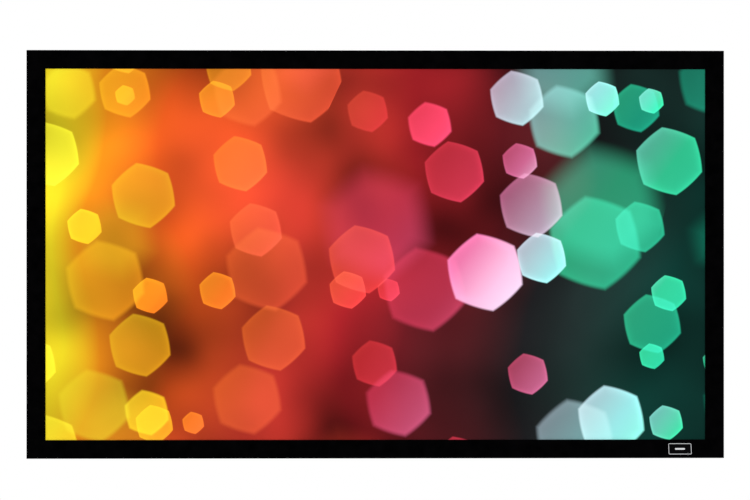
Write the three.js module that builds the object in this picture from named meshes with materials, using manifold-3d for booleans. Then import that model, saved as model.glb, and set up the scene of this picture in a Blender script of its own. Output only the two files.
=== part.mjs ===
// A fixed frame projector screen with a 100 inch, 16:9 picture, hung on a wall by four steel brackets.
// Six extruded rails make the frame. The screen sheet has a sleeve along each edge, a glass fibre rod
// runs in each sleeve, and coil springs pull the rods out towards the frame, so the sheet stays flat.
// Units are millimetres, +Z is up, the picture faces -Y and the wall is at +Y. The origin is the centre
// of the whole object's box.
//
// Each side of the frame is built in a frame of its own: X runs along the side, Y is depth and Z runs
// inwards, from the outer edge of the frame towards the picture. A section is drawn in (u, d), where u is
// that distance from the outer edge and d is the depth behind the front of the frame.
import * as THREE from "three";
import { mergeVertices } from "three/addons/utils/BufferGeometryUtils.js";
import Module from "manifold-3d";

const wasm = await Module();
wasm.setup();

// Picture and frame
const VIEW_WIDTH = 2214;
const VIEW_HEIGHT = 1245;
const FACE_WIDTH = 60;
const FRAME_DEPTH = 36;
const CLEARANCE = 0.3;

// Rail section
const WALL = 1.8;
const EDGE_RADIUS = 3;
const BEVEL_START = 8;
const SEAT_DEPTH = 11.6;
const NOSE_RADIUS = 1.3;
const SEAT_WIDTH = 10;
const BOX_WIDTH = 17;
const SLOT_DEPTH = 6.2;
const SLOT_LIP = 3;
const HOOK_RIB_GAP = 3.5;
const HOOK_RIB_THICKNESS = 1.6;
const HOOK_RIB_RISE = 1.9;
const MITRE_GAP = 0.2;
const RAIL_JOINT_GAP = 0.3;

// Screen sheet, its sleeves and the rods in them
const SHEET_THICKNESS = 0.5;
const SHEET_CORNER_CUT = 12;
const ROD_RADIUS = 2;
const ROD_SEAT_GAP = 3;
const ROD_CHAMFER = 0.6;
const ROD_OVERHANG = 8;
const ROD_JOINT_GAP = 4;
const SLEEVE_END_INSET = 38;
const WELD_WIDTH = 11;

// Tension springs
const SPRINGS_PER_HALF_RAIL = 5;
const SPRINGS_PER_STILE = 6;
const WIRE_RADIUS = 0.5;
const COIL_RADIUS = 3.4;
const COIL_LENGTH = 13;
const COIL_RIDGES = 3;
const COIL_GROOVE = 0.8;
const NOTCH_WIDTH = 22;
const NOTCH_MARGIN = 5;

// Joining plates in the slot of the rails
const PLATE_THICKNESS = 4;
const CORNER_LEG = 110;
const CORNER_SCREWS = [36, 88];
const SPLICE_LENGTH = 190;
const SPLICE_SCREWS = [46, 80];
const GRUB_HOLE_RADIUS = 2.5;

// Centre bar and its clips
const BAR_WIDTH = 30;
const BAR_DEPTH = 14;
const BAR_WALL = 1.5;
const BAR_RADIUS = 2;
const CLIP_WIDTH = 52;
const CLIP_REACH = 58;
const CLIP_THICKNESS = 1.7;
const CLIP_RADIUS = 5;
const CLIP_SCREW_SPACING = 36;
const CLIP_BAR_SCREW = 42;
const CLIP_HOLE_RADIUS = 1.7;
const CLIP_HEAD_RADIUS = 3;

// Wall brackets
const STAND_OFF = 2.3;
const BRACKET_THICKNESS = 2;
const BRACKET_WIDTH = 90;
const BRACKET_REACH = 64;
const BRACKET_RADIUS = 8;
const BRACKET_BEND = 0.4;
const BRACKET_X = 664;
const BRACKET_SCREW_SPACING = 54;
const BRACKET_SCREW_U = 46;
const BRACKET_SLOT_RADIUS = 2.6;
const BRACKET_SLOT_TRAVEL = 10;

// Badge plate on the lower rail
const BADGE_WIDTH = 77;
const BADGE_HEIGHT = 36;
const BADGE_THICKNESS = 0.9;
const BADGE_RIM = 1.8;
const BADGE_RIM_RISE = 0.6;
const BADGE_RADIUS = 3.5;
const BADGE_FROM_EDGE = 147;
const BADGE_U = 30;

// Facets round a drilled hole
const DRILL_SIDES = 8;

// Worked out from the dimensions above
const OUTER_WIDTH = VIEW_WIDTH + 2 * FACE_WIDTH;
const OUTER_HEIGHT = VIEW_HEIGHT + 2 * FACE_WIDTH;
const WALL_PLANE = FRAME_DEPTH + STAND_OFF;
const SLOT_FLOOR = FRAME_DEPTH - SLOT_DEPTH - WALL;
const SLOT_LIP_FACE = FRAME_DEPTH - WALL;
const SLOT_CENTRE = BOX_WIDTH / 2;
const HOOK_RIB_U = BOX_WIDTH + HOOK_RIB_GAP;
const SEAT_START = FACE_WIDTH - SEAT_WIDTH;
const SHEET_FRONT = SEAT_DEPTH + CLEARANCE;
const SHEET_BACK = SHEET_FRONT + SHEET_THICKNESS;
const SLEEVE_INNER = ROD_RADIUS + CLEARANCE;
const SLEEVE_OUTER = SLEEVE_INNER + SHEET_THICKNESS;
const ROD_U = SEAT_START - ROD_SEAT_GAP;
const ROD_DEPTH = SHEET_FRONT + SLEEVE_OUTER;
const HOOK_RIB_TIP = ROD_DEPTH + HOOK_RIB_RISE;
const SHEET_WIDTH = OUTER_WIDTH - 2 * ROD_U;
const SHEET_HEIGHT = OUTER_HEIGHT - 2 * ROD_U;
const PLATE_WIDTH = BOX_WIDTH - 2 * (WALL + CLEARANCE);
const PLATE_BACK = SLOT_LIP_FACE - CLEARANCE;
const BAR_LENGTH = OUTER_HEIGHT - 2 * (BOX_WIDTH + CLEARANCE);

// The bevelled face leaves the flat edge at this angle and meets the round nose of the lip as a tangent.
const NOSE = { u: FACE_WIDTH - NOSE_RADIUS, d: SEAT_DEPTH - NOSE_RADIUS };
const BEVEL_ANGLE =
  Math.atan2(NOSE.d, NOSE.u - BEVEL_START) -
  Math.asin(NOSE_RADIUS / Math.hypot(NOSE.u - BEVEL_START, NOSE.d));
const frontAt = (u) => Math.max(0, u - BEVEL_START) * Math.tan(BEVEL_ANGLE);
const floorAt = (u) => frontAt(u) + WALL / Math.cos(BEVEL_ANGLE);

// The lower edge of the badge's rim is the foremost point of the whole object.
const BADGE_FRONT =
  frontAt(BADGE_U) -
  (BADGE_HEIGHT / 2) * Math.sin(BEVEL_ANGLE) -
  (CLEARANCE + BADGE_THICKNESS + BADGE_RIM_RISE) * Math.cos(BEVEL_ANGLE);

const finish = (color, roughness, metalness) =>
  new THREE.MeshStandardMaterial({ color, roughness, metalness });
const MATERIALS = {
  velvet: finish(0x050505, 1, 0),
  screen: finish(0xf2f1ee, 0.9, 0),
  glassFibre: finish(0xe6dfc4, 0.45, 0),
  springSteel: finish(0xb9bbbd, 0.3, 1),
  zincPlate: finish(0xa9adb0, 0.4, 1),
  aluminium: finish(0xb4b6b8, 0.45, 1),
  blackSteel: finish(0x1c1c1d, 0.55, 0.3),
  badge: finish(0x2b2b2d, 0.3, 0.8),
};

// Solids: closed geometry in and out of the boolean library

function solidOf(geometry) {
  const loose = geometry.index ? geometry.toNonIndexed() : geometry;
  const bare = new THREE.BufferGeometry().setAttribute("position", loose.getAttribute("position"));
  const merged = mergeVertices(bare, 1e-4);
  return new wasm.Manifold(
    new wasm.Mesh({
      numProp: 3,
      vertProperties: merged.attributes.position.array,
      triVerts: new Uint32Array(merged.index.array),
    }),
  );
}

function geometryOf(solid) {
  const mesh = solid.getMesh();
  const shared = new THREE.BufferGeometry()
    .setAttribute("position", new THREE.BufferAttribute(mesh.vertProperties, 3))
    .setIndex(new THREE.BufferAttribute(mesh.triVerts, 1));
  const faceted = shared.toNonIndexed();
  faceted.computeVertexNormals();
  return faceted;
}

const joined = (geometries) =>
  geometryOf(geometries.map(solidOf).reduce((whole, next) => whole.add(next)));

const cut = (geometry, tools) =>
  geometryOf(tools.map(solidOf).reduce((rest, tool) => rest.subtract(tool), solidOf(geometry)));

const common = (a, b) => geometryOf(solidOf(a).intersect(solidOf(b)));

// A section in (u, d), run along X from one end to the other
function alongSide(section, from, to, curveSegments = 2) {
  const geometry = new THREE.ExtrudeGeometry(section, {
    depth: to - from,
    bevelEnabled: false,
    curveSegments,
  });
  return geometry.rotateY(-Math.PI / 2).translate(to, 0, 0);
}

// An outline in (x, u), run through the depth from the front towards the wall
function throughDepth(outline, from, to, curveSegments = 2) {
  const geometry = new THREE.ExtrudeGeometry(outline, {
    depth: to - from,
    bevelEnabled: false,
    curveSegments,
  });
  return geometry.rotateX(Math.PI / 2).translate(0, to, 0);
}

// A round drill through the depth at (x, u)
function drill(x, u, radius, from, to) {
  const tool = new THREE.CylinderGeometry(radius, radius, to - from, DRILL_SIDES);
  return tool.translate(x, (from + to) / 2, u);
}

// The same drill with a countersink of 45 degrees for a screw's head at its far end
function countersink(x, u, radius, headRadius, from, to) {
  const profile = [
    [0, from - 1],
    [radius, from - 1],
    [radius, to - (headRadius - radius)],
    [headRadius, to],
    [headRadius, to + 1],
    [0, to + 1],
  ].map(([r, d]) => new THREE.Vector2(r, d));
  return new THREE.LatheGeometry(profile, DRILL_SIDES).translate(x, 0, u);
}

function block(low, high) {
  const size = high.map((value, axis) => value - low[axis]);
  const centre = high.map((value, axis) => (value + low[axis]) / 2);
  return new THREE.BoxGeometry(...size).translate(...centre);
}

function polygon(points) {
  const shape = new THREE.Shape();
  points.forEach(([x, y], index) => (index ? shape.lineTo(x, y) : shape.moveTo(x, y)));
  shape.closePath();
  return shape;
}

// A closed outline through its corners, each [u, d], or [u, d, radius] where it is bent round
function bentOutline(corners) {
  const shape = new THREE.Shape();
  corners.forEach(([u, d, radius = 0], index) => {
    const corner = new THREE.Vector2(u, d);
    const towards = ([x, y]) => new THREE.Vector2(x, y).sub(corner).setLength(radius).add(corner);
    const start = towards(corners.at(index - 1));
    const end = towards(corners[(index + 1) % corners.length]);
    if (index) shape.lineTo(start.x, start.y);
    else shape.moveTo(start.x, start.y);
    if (radius) shape.quadraticCurveTo(corner.x, corner.y, end.x, end.y);
  });
  shape.closePath();
  return shape;
}

function roundedRectangle(x0, y0, x1, y1, radius) {
  const shape = new THREE.Shape();
  shape.absarc(x0 + radius, y0 + radius, radius, Math.PI, 1.5 * Math.PI);
  shape.absarc(x1 - radius, y0 + radius, radius, 1.5 * Math.PI, 2 * Math.PI);
  shape.absarc(x1 - radius, y1 - radius, radius, 0, 0.5 * Math.PI);
  shape.absarc(x0 + radius, y1 - radius, radius, 0.5 * Math.PI, Math.PI);
  shape.closePath();
  return shape;
}

// Rails: a closed box at the outer edge carries a slot on its back for the joining plates and the wall
// brackets. A thin bevelled face reaches in from it, with the rib that the springs hook on and the seat
// that the sheet is drawn over.

function railSection() {
  const slotLipOuter = WALL + SLOT_LIP;
  const slotLipInner = BOX_WIDTH - WALL - SLOT_LIP;
  const ribTop = HOOK_RIB_TIP - HOOK_RIB_THICKNESS / 4;
  const section = new THREE.Shape();
  section.moveTo(0, FRAME_DEPTH);
  section.lineTo(0, EDGE_RADIUS);
  section.absarc(EDGE_RADIUS, EDGE_RADIUS, EDGE_RADIUS, Math.PI, 1.5 * Math.PI);
  section.lineTo(BEVEL_START, 0);
  section.absarc(NOSE.u, NOSE.d, NOSE_RADIUS, BEVEL_ANGLE - Math.PI / 2, Math.PI / 2);
  section.lineTo(SEAT_START, SEAT_DEPTH);
  section.lineTo(SEAT_START - WALL, floorAt(SEAT_START - WALL));
  section.lineTo(HOOK_RIB_U + HOOK_RIB_THICKNESS, floorAt(HOOK_RIB_U + HOOK_RIB_THICKNESS));
  section.lineTo(HOOK_RIB_U + HOOK_RIB_THICKNESS, ribTop);
  section.lineTo(HOOK_RIB_U + 0.7 * HOOK_RIB_THICKNESS, HOOK_RIB_TIP);
  section.lineTo(HOOK_RIB_U + 0.3 * HOOK_RIB_THICKNESS, HOOK_RIB_TIP);
  section.lineTo(HOOK_RIB_U, ribTop);
  section.lineTo(HOOK_RIB_U, floorAt(HOOK_RIB_U));
  section.lineTo(BOX_WIDTH, floorAt(BOX_WIDTH));
  section.lineTo(BOX_WIDTH, FRAME_DEPTH);
  section.lineTo(slotLipInner, FRAME_DEPTH);
  section.lineTo(slotLipInner, SLOT_LIP_FACE);
  section.lineTo(BOX_WIDTH - WALL, SLOT_LIP_FACE);
  section.lineTo(BOX_WIDTH - WALL, SLOT_FLOOR);
  section.lineTo(WALL, SLOT_FLOOR);
  section.lineTo(WALL, SLOT_LIP_FACE);
  section.lineTo(slotLipOuter, SLOT_LIP_FACE);
  section.lineTo(slotLipOuter, FRAME_DEPTH);
  section.closePath();
  const chamberTop = SLOT_FLOOR - WALL;
  section.holes.push(
    polygon([
      [WALL, floorAt(0)],
      [WALL, chamberTop],
      [BOX_WIDTH - WALL, chamberTop],
      [BOX_WIDTH - WALL, floorAt(BOX_WIDTH - WALL)],
      [BEVEL_START, floorAt(0)],
    ]),
  );
  return section;
}

// A mitred end is drawn back along the side by its distance from the outer edge, and a square one isn't.
function rail(from, to, { mitreFrom = true, mitreTo = true } = {}) {
  const geometry = alongSide(railSection(), from, to);
  const position = geometry.getAttribute("position");
  const middle = (from + to) / 2;
  for (let i = 0; i < position.count; i++) {
    const x = position.getX(i);
    const back = position.getZ(i) + MITRE_GAP;
    if (x < middle && mitreFrom) position.setX(i, x + back);
    if (x > middle && mitreTo) position.setX(i, x - back);
  }
  geometry.computeVertexNormals();
  return geometry;
}

// Screen sheet: one piece of white vinyl whose four edges are turned back round the rods and welded. At
// each spring the sleeve is notched, so that the spring's hook can reach the rod.

function sleeve(viewLength, springPlaces) {
  const half = viewLength / 2 + FACE_WIDTH - ROD_U - SLEEVE_END_INSET;
  const loop = new THREE.Shape().absarc(ROD_U, ROD_DEPTH, SLEEVE_OUTER, 0, 2 * Math.PI);
  loop.holes.push(new THREE.Path().absarc(ROD_U, ROD_DEPTH, SLEEVE_INNER, 0, 2 * Math.PI, true));
  const weld = [
    [-half, SHEET_BACK - SHEET_THICKNESS / 2, ROD_U + ROD_RADIUS],
    [half, SHEET_BACK + SHEET_THICKNESS, ROD_U + WELD_WIDTH],
  ];
  const notches = springPlaces.map((x) =>
    block(
      [x - NOTCH_WIDTH / 2, SHEET_FRONT - 1, ROD_U - SLEEVE_OUTER - 1],
      [x + NOTCH_WIDTH / 2, ROD_DEPTH + SLEEVE_OUTER + 1, ROD_U + NOTCH_MARGIN],
    ),
  );
  return { body: [alongSide(loop, -half, half, 4), block(...weld)], notches };
}

function screenSheet(sides) {
  const x = SHEET_WIDTH / 2;
  const z = SHEET_HEIGHT / 2;
  const c = SHEET_CORNER_CUT;
  const outline = polygon([
    [c - x, -z],
    [x - c, -z],
    [x, c - z],
    [x, z - c],
    [x - c, z],
    [c - x, z],
    [-x, z - c],
    [-x, c - z],
  ]);
  const bodies = [throughDepth(outline, SHEET_FRONT, SHEET_BACK)];
  const notches = [];
  sides.forEach(({ frame, viewLength, springPlaces }) => {
    const edge = sleeve(viewLength, springPlaces);
    bodies.push(...edge.body.map((piece) => piece.applyMatrix4(frame.matrix)));
    notches.push(...edge.notches.map((piece) => piece.applyMatrix4(frame.matrix)));
  });
  return cut(joined(bodies), notches);
}

function rod(from, to) {
  const straight = to - from - 2 * ROD_CHAMFER;
  const profile = [
    [0, 0],
    [ROD_RADIUS - ROD_CHAMFER, 0],
    [ROD_RADIUS, ROD_CHAMFER],
    [ROD_RADIUS, ROD_CHAMFER + straight],
    [ROD_RADIUS - ROD_CHAMFER, to - from],
    [0, to - from],
  ].map(([r, y]) => new THREE.Vector2(r, y));
  return new THREE.LatheGeometry(profile, 8).rotateZ(-Math.PI / 2).translate(from, ROD_DEPTH, ROD_U);
}

// Tension spring: a close-wound coil with an open hook at each end. One hook goes round the rod in its
// notch and the other over the tip of the rib.

function wire(points, steps) {
  const section = new THREE.Shape().absarc(0, 0, WIRE_RADIUS, 0, 2 * Math.PI);
  const path = new THREE.CatmullRomCurve3(points.map(([u, d]) => new THREE.Vector3(0, d, u)));
  return new THREE.ExtrudeGeometry(section, { extrudePath: path, steps, curveSegments: 2 });
}

function spring() {
  const reach = WIRE_RADIUS + CLEARANCE;
  const ribMiddle = HOOK_RIB_U + HOOK_RIB_THICKNESS / 2;
  const middle = (ROD_U + ribMiddle) / 2;
  const coilStart = middle - COIL_LENGTH / 2;
  const coilEnd = middle + COIL_LENGTH / 2;
  const ridges = [new THREE.Vector2(0, 0), new THREE.Vector2(COIL_RADIUS - COIL_GROOVE, 0)];
  for (let i = 0; i < COIL_RIDGES; i++) {
    const pitch = COIL_LENGTH / COIL_RIDGES;
    ridges.push(new THREE.Vector2(COIL_RADIUS, (i + 0.5) * pitch));
    ridges.push(new THREE.Vector2(COIL_RADIUS - COIL_GROOVE, (i + 1) * pitch));
  }
  ridges.push(new THREE.Vector2(0, COIL_LENGTH));
  const coil = new THREE.LatheGeometry(ridges, 6)
    .rotateX(Math.PI / 2)
    .translate(0, ROD_DEPTH, coilStart);

  const round = ROD_RADIUS + reach;
  const rodHook = [
    [coilEnd - 1, ROD_DEPTH],
    [coilEnd + 1, ROD_DEPTH + 0.3 * round],
    [ROD_U - 0.4 * round, ROD_DEPTH + 0.95 * round],
    [ROD_U + 0.7 * round, ROD_DEPTH + 0.72 * round],
    [ROD_U + 0.9 * round, ROD_DEPTH - 0.44 * round],
    [ROD_U, ROD_DEPTH - round],
    [ROD_U - 0.8 * round, ROD_DEPTH - 0.62 * round],
  ];
  const overTip = HOOK_RIB_TIP + reach;
  const ribOuter = HOOK_RIB_U - reach;
  const ribHook = [
    [coilStart + 1, ROD_DEPTH],
    [coilStart - 1, ROD_DEPTH + 0.2],
    [HOOK_RIB_U + HOOK_RIB_THICKNESS, overTip],
    [HOOK_RIB_U, overTip],
    [ribOuter, HOOK_RIB_TIP - 0.5],
    [ribOuter, HOOK_RIB_TIP - 3],
  ];
  return joined([coil, wire(rodHook, 9), wire(ribHook, 7)]);
}

// Joining plates: they lie in the rail's slot, and grub screws in their holes jam them against its lips.

function cornerPlate() {
  const near = SLOT_CENTRE - PLATE_WIDTH / 2;
  const far = SLOT_CENTRE + PLATE_WIDTH / 2;
  const from = PLATE_BACK - PLATE_THICKNESS;
  const outline = polygon([
    [near, near],
    [CORNER_LEG, near],
    [CORNER_LEG, far],
    [far, far],
    [far, CORNER_LEG],
    [near, CORNER_LEG],
  ]);
  const holes = CORNER_SCREWS.flatMap((along) => [
    drill(along, SLOT_CENTRE, GRUB_HOLE_RADIUS, from - 1, PLATE_BACK + 1),
    drill(SLOT_CENTRE, along, GRUB_HOLE_RADIUS, from - 1, PLATE_BACK + 1),
  ]);
  return cut(throughDepth(outline, from, PLATE_BACK), holes);
}

function splicePlate() {
  const half = SPLICE_LENGTH / 2;
  const from = PLATE_BACK - PLATE_THICKNESS;
  const body = block(
    [-half, from, SLOT_CENTRE - PLATE_WIDTH / 2],
    [half, PLATE_BACK, SLOT_CENTRE + PLATE_WIDTH / 2],
  );
  const screws = SPLICE_SCREWS.flatMap((x) => [
    drill(x, SLOT_CENTRE, GRUB_HOLE_RADIUS, from - 1, PLATE_BACK + 1),
    drill(-x, SLOT_CENTRE, GRUB_HOLE_RADIUS, from - 1, PLATE_BACK + 1),
  ]);
  const clipScrews = [-1, 1].map((side) =>
    drill(
      (side * CLIP_SCREW_SPACING) / 2,
      SLOT_CENTRE,
      CLIP_HOLE_RADIUS,
      from - 1,
      PLATE_BACK + 1,
    ),
  );
  return cut(body, [...screws, ...clipScrews]);
}

// Centre bar: a square tube behind the sheet that keeps the long rails from bowing in.

function supportBar() {
  const front = FRAME_DEPTH - BAR_DEPTH;
  const side = BAR_WIDTH / 2;
  const section = roundedRectangle(-side, front, side, FRAME_DEPTH, BAR_RADIUS);
  section.holes.push(
    polygon([
      [BAR_WALL - side, front + BAR_WALL],
      [BAR_WALL - side, FRAME_DEPTH - BAR_WALL],
      [side - BAR_WALL, FRAME_DEPTH - BAR_WALL],
      [side - BAR_WALL, front + BAR_WALL],
    ]),
  );
  const tube = new THREE.ExtrudeGeometry(section, {
    depth: BAR_LENGTH,
    bevelEnabled: false,
    curveSegments: 2,
  }).translate(0, 0, -BAR_LENGTH / 2);
  const screwZ = OUTER_HEIGHT / 2 - CLIP_BAR_SCREW;
  const screws = [-1, 1].map((side) =>
    drill(0, side * screwZ, CLIP_HOLE_RADIUS, FRAME_DEPTH - 2 * BAR_WALL, FRAME_DEPTH + 1),
  );
  return cut(tube, screws);
}

function barClip() {
  const from = FRAME_DEPTH + CLEARANCE;
  const to = from + CLIP_THICKNESS;
  const half = CLIP_WIDTH / 2;
  const outline = roundedRectangle(-half, WALL, half, CLIP_REACH, CLIP_RADIUS);
  const hole = (x, u) => countersink(x, u, CLIP_HOLE_RADIUS, CLIP_HEAD_RADIUS, from, to);
  return cut(throughDepth(outline, from, to), [
    hole(-CLIP_SCREW_SPACING / 2, SLOT_CENTRE),
    hole(CLIP_SCREW_SPACING / 2, SLOT_CENTRE),
    hole(0, CLIP_BAR_SCREW),
  ]);
}

// Wall brackets: folded steel, screwed to the wall first. A hook on each goes into the slot of the rail
// and up behind the slot's upper lip, so the frame is lifted on and drops into place. The holes are slots,
// so that a bracket can still be shifted sideways on its screws.

function wallBracket(hookSection) {
  const half = BRACKET_WIDTH / 2;
  const folded = alongSide(bentOutline(hookSection), -half, half);
  const outline = roundedRectangle(-half, -BRACKET_RADIUS, half, BRACKET_REACH, BRACKET_RADIUS);
  const trimmed = common(folded, throughDepth(outline, 0, WALL_PLANE + 1));
  const slots = [-1, 1].map((side) => {
    const x = (side * BRACKET_SCREW_SPACING) / 2;
    const end = BRACKET_SLOT_TRAVEL / 2;
    const slot = new THREE.Shape();
    slot.absarc(x - end, BRACKET_SCREW_U, BRACKET_SLOT_RADIUS, 0.5 * Math.PI, 1.5 * Math.PI);
    slot.absarc(x + end, BRACKET_SCREW_U, BRACKET_SLOT_RADIUS, -0.5 * Math.PI, 0.5 * Math.PI);
    return throughDepth(slot, FRAME_DEPTH, WALL_PLANE + 1);
  });
  return cut(trimmed, slots);
}

const HOOK_BACK = SLOT_LIP_FACE - CLEARANCE;
const HOOK_FRONT = HOOK_BACK - BRACKET_THICKNESS;
const BRACKET_FRONT = WALL_PLANE - BRACKET_THICKNESS;
const BRACKET_OUTER_BEND = BRACKET_BEND + BRACKET_THICKNESS;

// On the top rail the upper lip is the outer one, and the bracket's plate hangs down from the hook.
function topHookSection() {
  const rest = WALL + SLOT_LIP + CLEARANCE;
  const under = rest + BRACKET_THICKNESS;
  return [
    [BRACKET_REACH, WALL_PLANE],
    [BRACKET_REACH, BRACKET_FRONT],
    [under, BRACKET_FRONT, BRACKET_BEND],
    [under, HOOK_FRONT, BRACKET_OUTER_BEND],
    [WALL + CLEARANCE, HOOK_FRONT],
    [WALL + CLEARANCE, HOOK_BACK],
    [rest, HOOK_BACK, BRACKET_BEND],
    [rest, WALL_PLANE, BRACKET_OUTER_BEND],
  ];
}

// On the bottom rail the upper lip is the inner one, and the plate stands up from the hook behind it.
function bottomHookSection() {
  const rest = BOX_WIDTH - WALL - SLOT_LIP - CLEARANCE;
  const under = rest - BRACKET_THICKNESS;
  const tip = BOX_WIDTH - WALL - CLEARANCE;
  return [
    [BRACKET_REACH, WALL_PLANE],
    [BRACKET_REACH, BRACKET_FRONT],
    [rest, BRACKET_FRONT, BRACKET_BEND],
    [rest, HOOK_BACK, BRACKET_BEND],
    [tip, HOOK_BACK],
    [tip, HOOK_FRONT],
    [under, HOOK_FRONT, BRACKET_OUTER_BEND],
    [under, WALL_PLANE, BRACKET_OUTER_BEND],
  ];
}

// Badge plate: a small blank plate with a raised rim, fixed to the bevel.

function badgePlate() {
  const half = BADGE_WIDTH / 2;
  const high = BADGE_HEIGHT / 2;
  const outline = (inset) =>
    roundedRectangle(inset - half, inset - high, half - inset, high - inset, BADGE_RADIUS - inset);
  const rim = outline(0);
  rim.holes.push(outline(BADGE_RIM));
  const plate = (shape, depth) =>
    new THREE.ExtrudeGeometry(shape, { depth, bevelEnabled: false, curveSegments: 2 });
  return joined([plate(outline(0), BADGE_THICKNESS), plate(rim, BADGE_THICKNESS + BADGE_RIM_RISE)]);
}

// Assembly

const screen = new THREE.Group();
screen.name = "fixed_frame_projector_screen";

const body = new THREE.Group();
body.position.y = -(WALL_PLANE + BADGE_FRONT) / 2;
screen.add(body);

function add(parent, name, geometry, material) {
  const mesh = new THREE.Mesh(geometry, material);
  mesh.name = name;
  parent.add(mesh);
  return mesh;
}

function sideFrame(turn, x, z) {
  const frame = new THREE.Group();
  frame.rotation.y = turn;
  frame.position.set(x, 0, z);
  frame.updateMatrix();
  body.add(frame);
  return frame;
}

function evenly(count, length) {
  return Array.from({ length: count }, (_, i) => ((i + 0.5) / count - 0.5) * length);
}

const SIDES = {
  bottom: {
    frame: sideFrame(0, 0, -OUTER_HEIGHT / 2),
    viewLength: VIEW_WIDTH,
    springPlaces: evenly(2 * SPRINGS_PER_HALF_RAIL, VIEW_WIDTH),
    halves: ["left", "right"],
  },
  right: {
    frame: sideFrame(-Math.PI / 2, OUTER_WIDTH / 2, 0),
    viewLength: VIEW_HEIGHT,
    springPlaces: evenly(SPRINGS_PER_STILE, VIEW_HEIGHT),
  },
  top: {
    frame: sideFrame(Math.PI, 0, OUTER_HEIGHT / 2),
    viewLength: VIEW_WIDTH,
    springPlaces: evenly(2 * SPRINGS_PER_HALF_RAIL, VIEW_WIDTH),
    halves: ["right", "left"],
  },
  left: {
    frame: sideFrame(Math.PI / 2, -OUTER_WIDTH / 2, 0),
    viewLength: VIEW_HEIGHT,
    springPlaces: evenly(SPRINGS_PER_STILE, VIEW_HEIGHT),
  },
};

const springGeometry = spring();
for (const [side, { frame, viewLength, springPlaces, halves }] of Object.entries(SIDES)) {
  const end = viewLength / 2 + FACE_WIDTH;
  const rodEnd = end - ROD_U - SLEEVE_END_INSET + ROD_OVERHANG;
  if (halves) {
    const [first, second] = halves;
    const gap = RAIL_JOINT_GAP / 2;
    const rodGap = ROD_JOINT_GAP / 2;
    add(frame, `rail_${side}_${first}`, rail(-end, -gap, { mitreTo: false }), MATERIALS.velvet);
    add(frame, `rail_${side}_${second}`, rail(gap, end, { mitreFrom: false }), MATERIALS.velvet);
    add(frame, `tension_rod_${side}_${first}`, rod(-rodEnd, -rodGap), MATERIALS.glassFibre);
    add(frame, `tension_rod_${side}_${second}`, rod(rodGap, rodEnd), MATERIALS.glassFibre);
    add(frame, `splice_plate_${side}`, splicePlate(), MATERIALS.zincPlate);
    add(frame, `bar_clip_${side}`, barClip(), MATERIALS.blackSteel);
    const hook = side === "top" ? topHookSection() : bottomHookSection();
    halves.forEach((half, index) => {
      const name = `wall_bracket_${side}_${half}`;
      add(frame, name, wallBracket(hook), MATERIALS.blackSteel).position.x =
        index ? BRACKET_X : -BRACKET_X;
    });
  } else {
    add(frame, `rail_${side}`, rail(-end, end), MATERIALS.velvet);
    add(frame, `tension_rod_${side}`, rod(-rodEnd, rodEnd), MATERIALS.glassFibre);
  }
  springPlaces.forEach((x, index) => {
    const name = `tension_spring_${side}_${index + 1}`;
    add(frame, name, springGeometry, MATERIALS.springSteel).position.x = x;
  });
  const corner = { bottom: "bottom_left", right: "bottom_right", top: "top_right", left: "top_left" };
  add(frame, `corner_plate_${corner[side]}`, cornerPlate(), MATERIALS.zincPlate).position.x = -end;
}

add(body, "screen_sheet", screenSheet(Object.values(SIDES)), MATERIALS.screen);
add(body, "support_bar", supportBar(), MATERIALS.aluminium);

const badge = add(SIDES.bottom.frame, "badge_plate", badgePlate(), MATERIALS.badge);
badge.rotation.x = Math.PI / 2 - BEVEL_ANGLE;
badge.position.set(
  OUTER_WIDTH / 2 - BADGE_FROM_EDGE,
  frontAt(BADGE_U) - CLEARANCE * Math.cos(BEVEL_ANGLE),
  BADGE_U + CLEARANCE * Math.sin(BEVEL_ANGLE),
);

export default screen;
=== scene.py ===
# %% [markdown]
# # A fixed frame projector screen
# A fixed frame screen is a white sheet that springs stretch flat inside a stiff frame, like the skin of
# a drum. The frame is wrapped in black velvet, which swallows the light that spills past the picture.
# This lesson dresses the finished construction. Every rail, rod, spring and plate is already at its real
# size and place, so nothing is moved here: we add cloth, wire, screws and finishes around it.

import math

import bmesh
import bpy
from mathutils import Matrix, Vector


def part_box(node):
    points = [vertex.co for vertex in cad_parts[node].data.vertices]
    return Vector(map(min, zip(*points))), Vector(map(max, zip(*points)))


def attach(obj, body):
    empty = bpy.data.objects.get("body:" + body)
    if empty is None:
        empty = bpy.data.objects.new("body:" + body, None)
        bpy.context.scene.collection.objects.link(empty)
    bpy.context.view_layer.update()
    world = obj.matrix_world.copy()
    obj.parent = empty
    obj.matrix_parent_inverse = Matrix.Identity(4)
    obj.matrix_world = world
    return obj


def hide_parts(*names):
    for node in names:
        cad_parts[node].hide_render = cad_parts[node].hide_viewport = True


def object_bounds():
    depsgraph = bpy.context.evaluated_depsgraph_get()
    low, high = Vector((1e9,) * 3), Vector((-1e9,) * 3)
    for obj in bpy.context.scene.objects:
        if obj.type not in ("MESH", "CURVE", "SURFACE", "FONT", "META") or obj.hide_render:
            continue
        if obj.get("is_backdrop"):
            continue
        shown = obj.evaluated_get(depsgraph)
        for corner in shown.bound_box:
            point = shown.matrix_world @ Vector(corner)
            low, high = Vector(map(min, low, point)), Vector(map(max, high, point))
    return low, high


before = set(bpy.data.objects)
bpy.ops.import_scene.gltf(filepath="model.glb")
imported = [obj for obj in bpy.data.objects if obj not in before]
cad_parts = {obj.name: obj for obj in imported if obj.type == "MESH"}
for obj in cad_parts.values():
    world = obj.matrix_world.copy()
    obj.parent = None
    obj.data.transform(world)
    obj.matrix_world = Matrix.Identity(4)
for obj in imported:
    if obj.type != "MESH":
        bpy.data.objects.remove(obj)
cad_low, cad_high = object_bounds()
scene = bpy.context.scene
scene.view_settings.view_transform = "Standard"
print(f"loaded {len(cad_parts)} solids")

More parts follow.
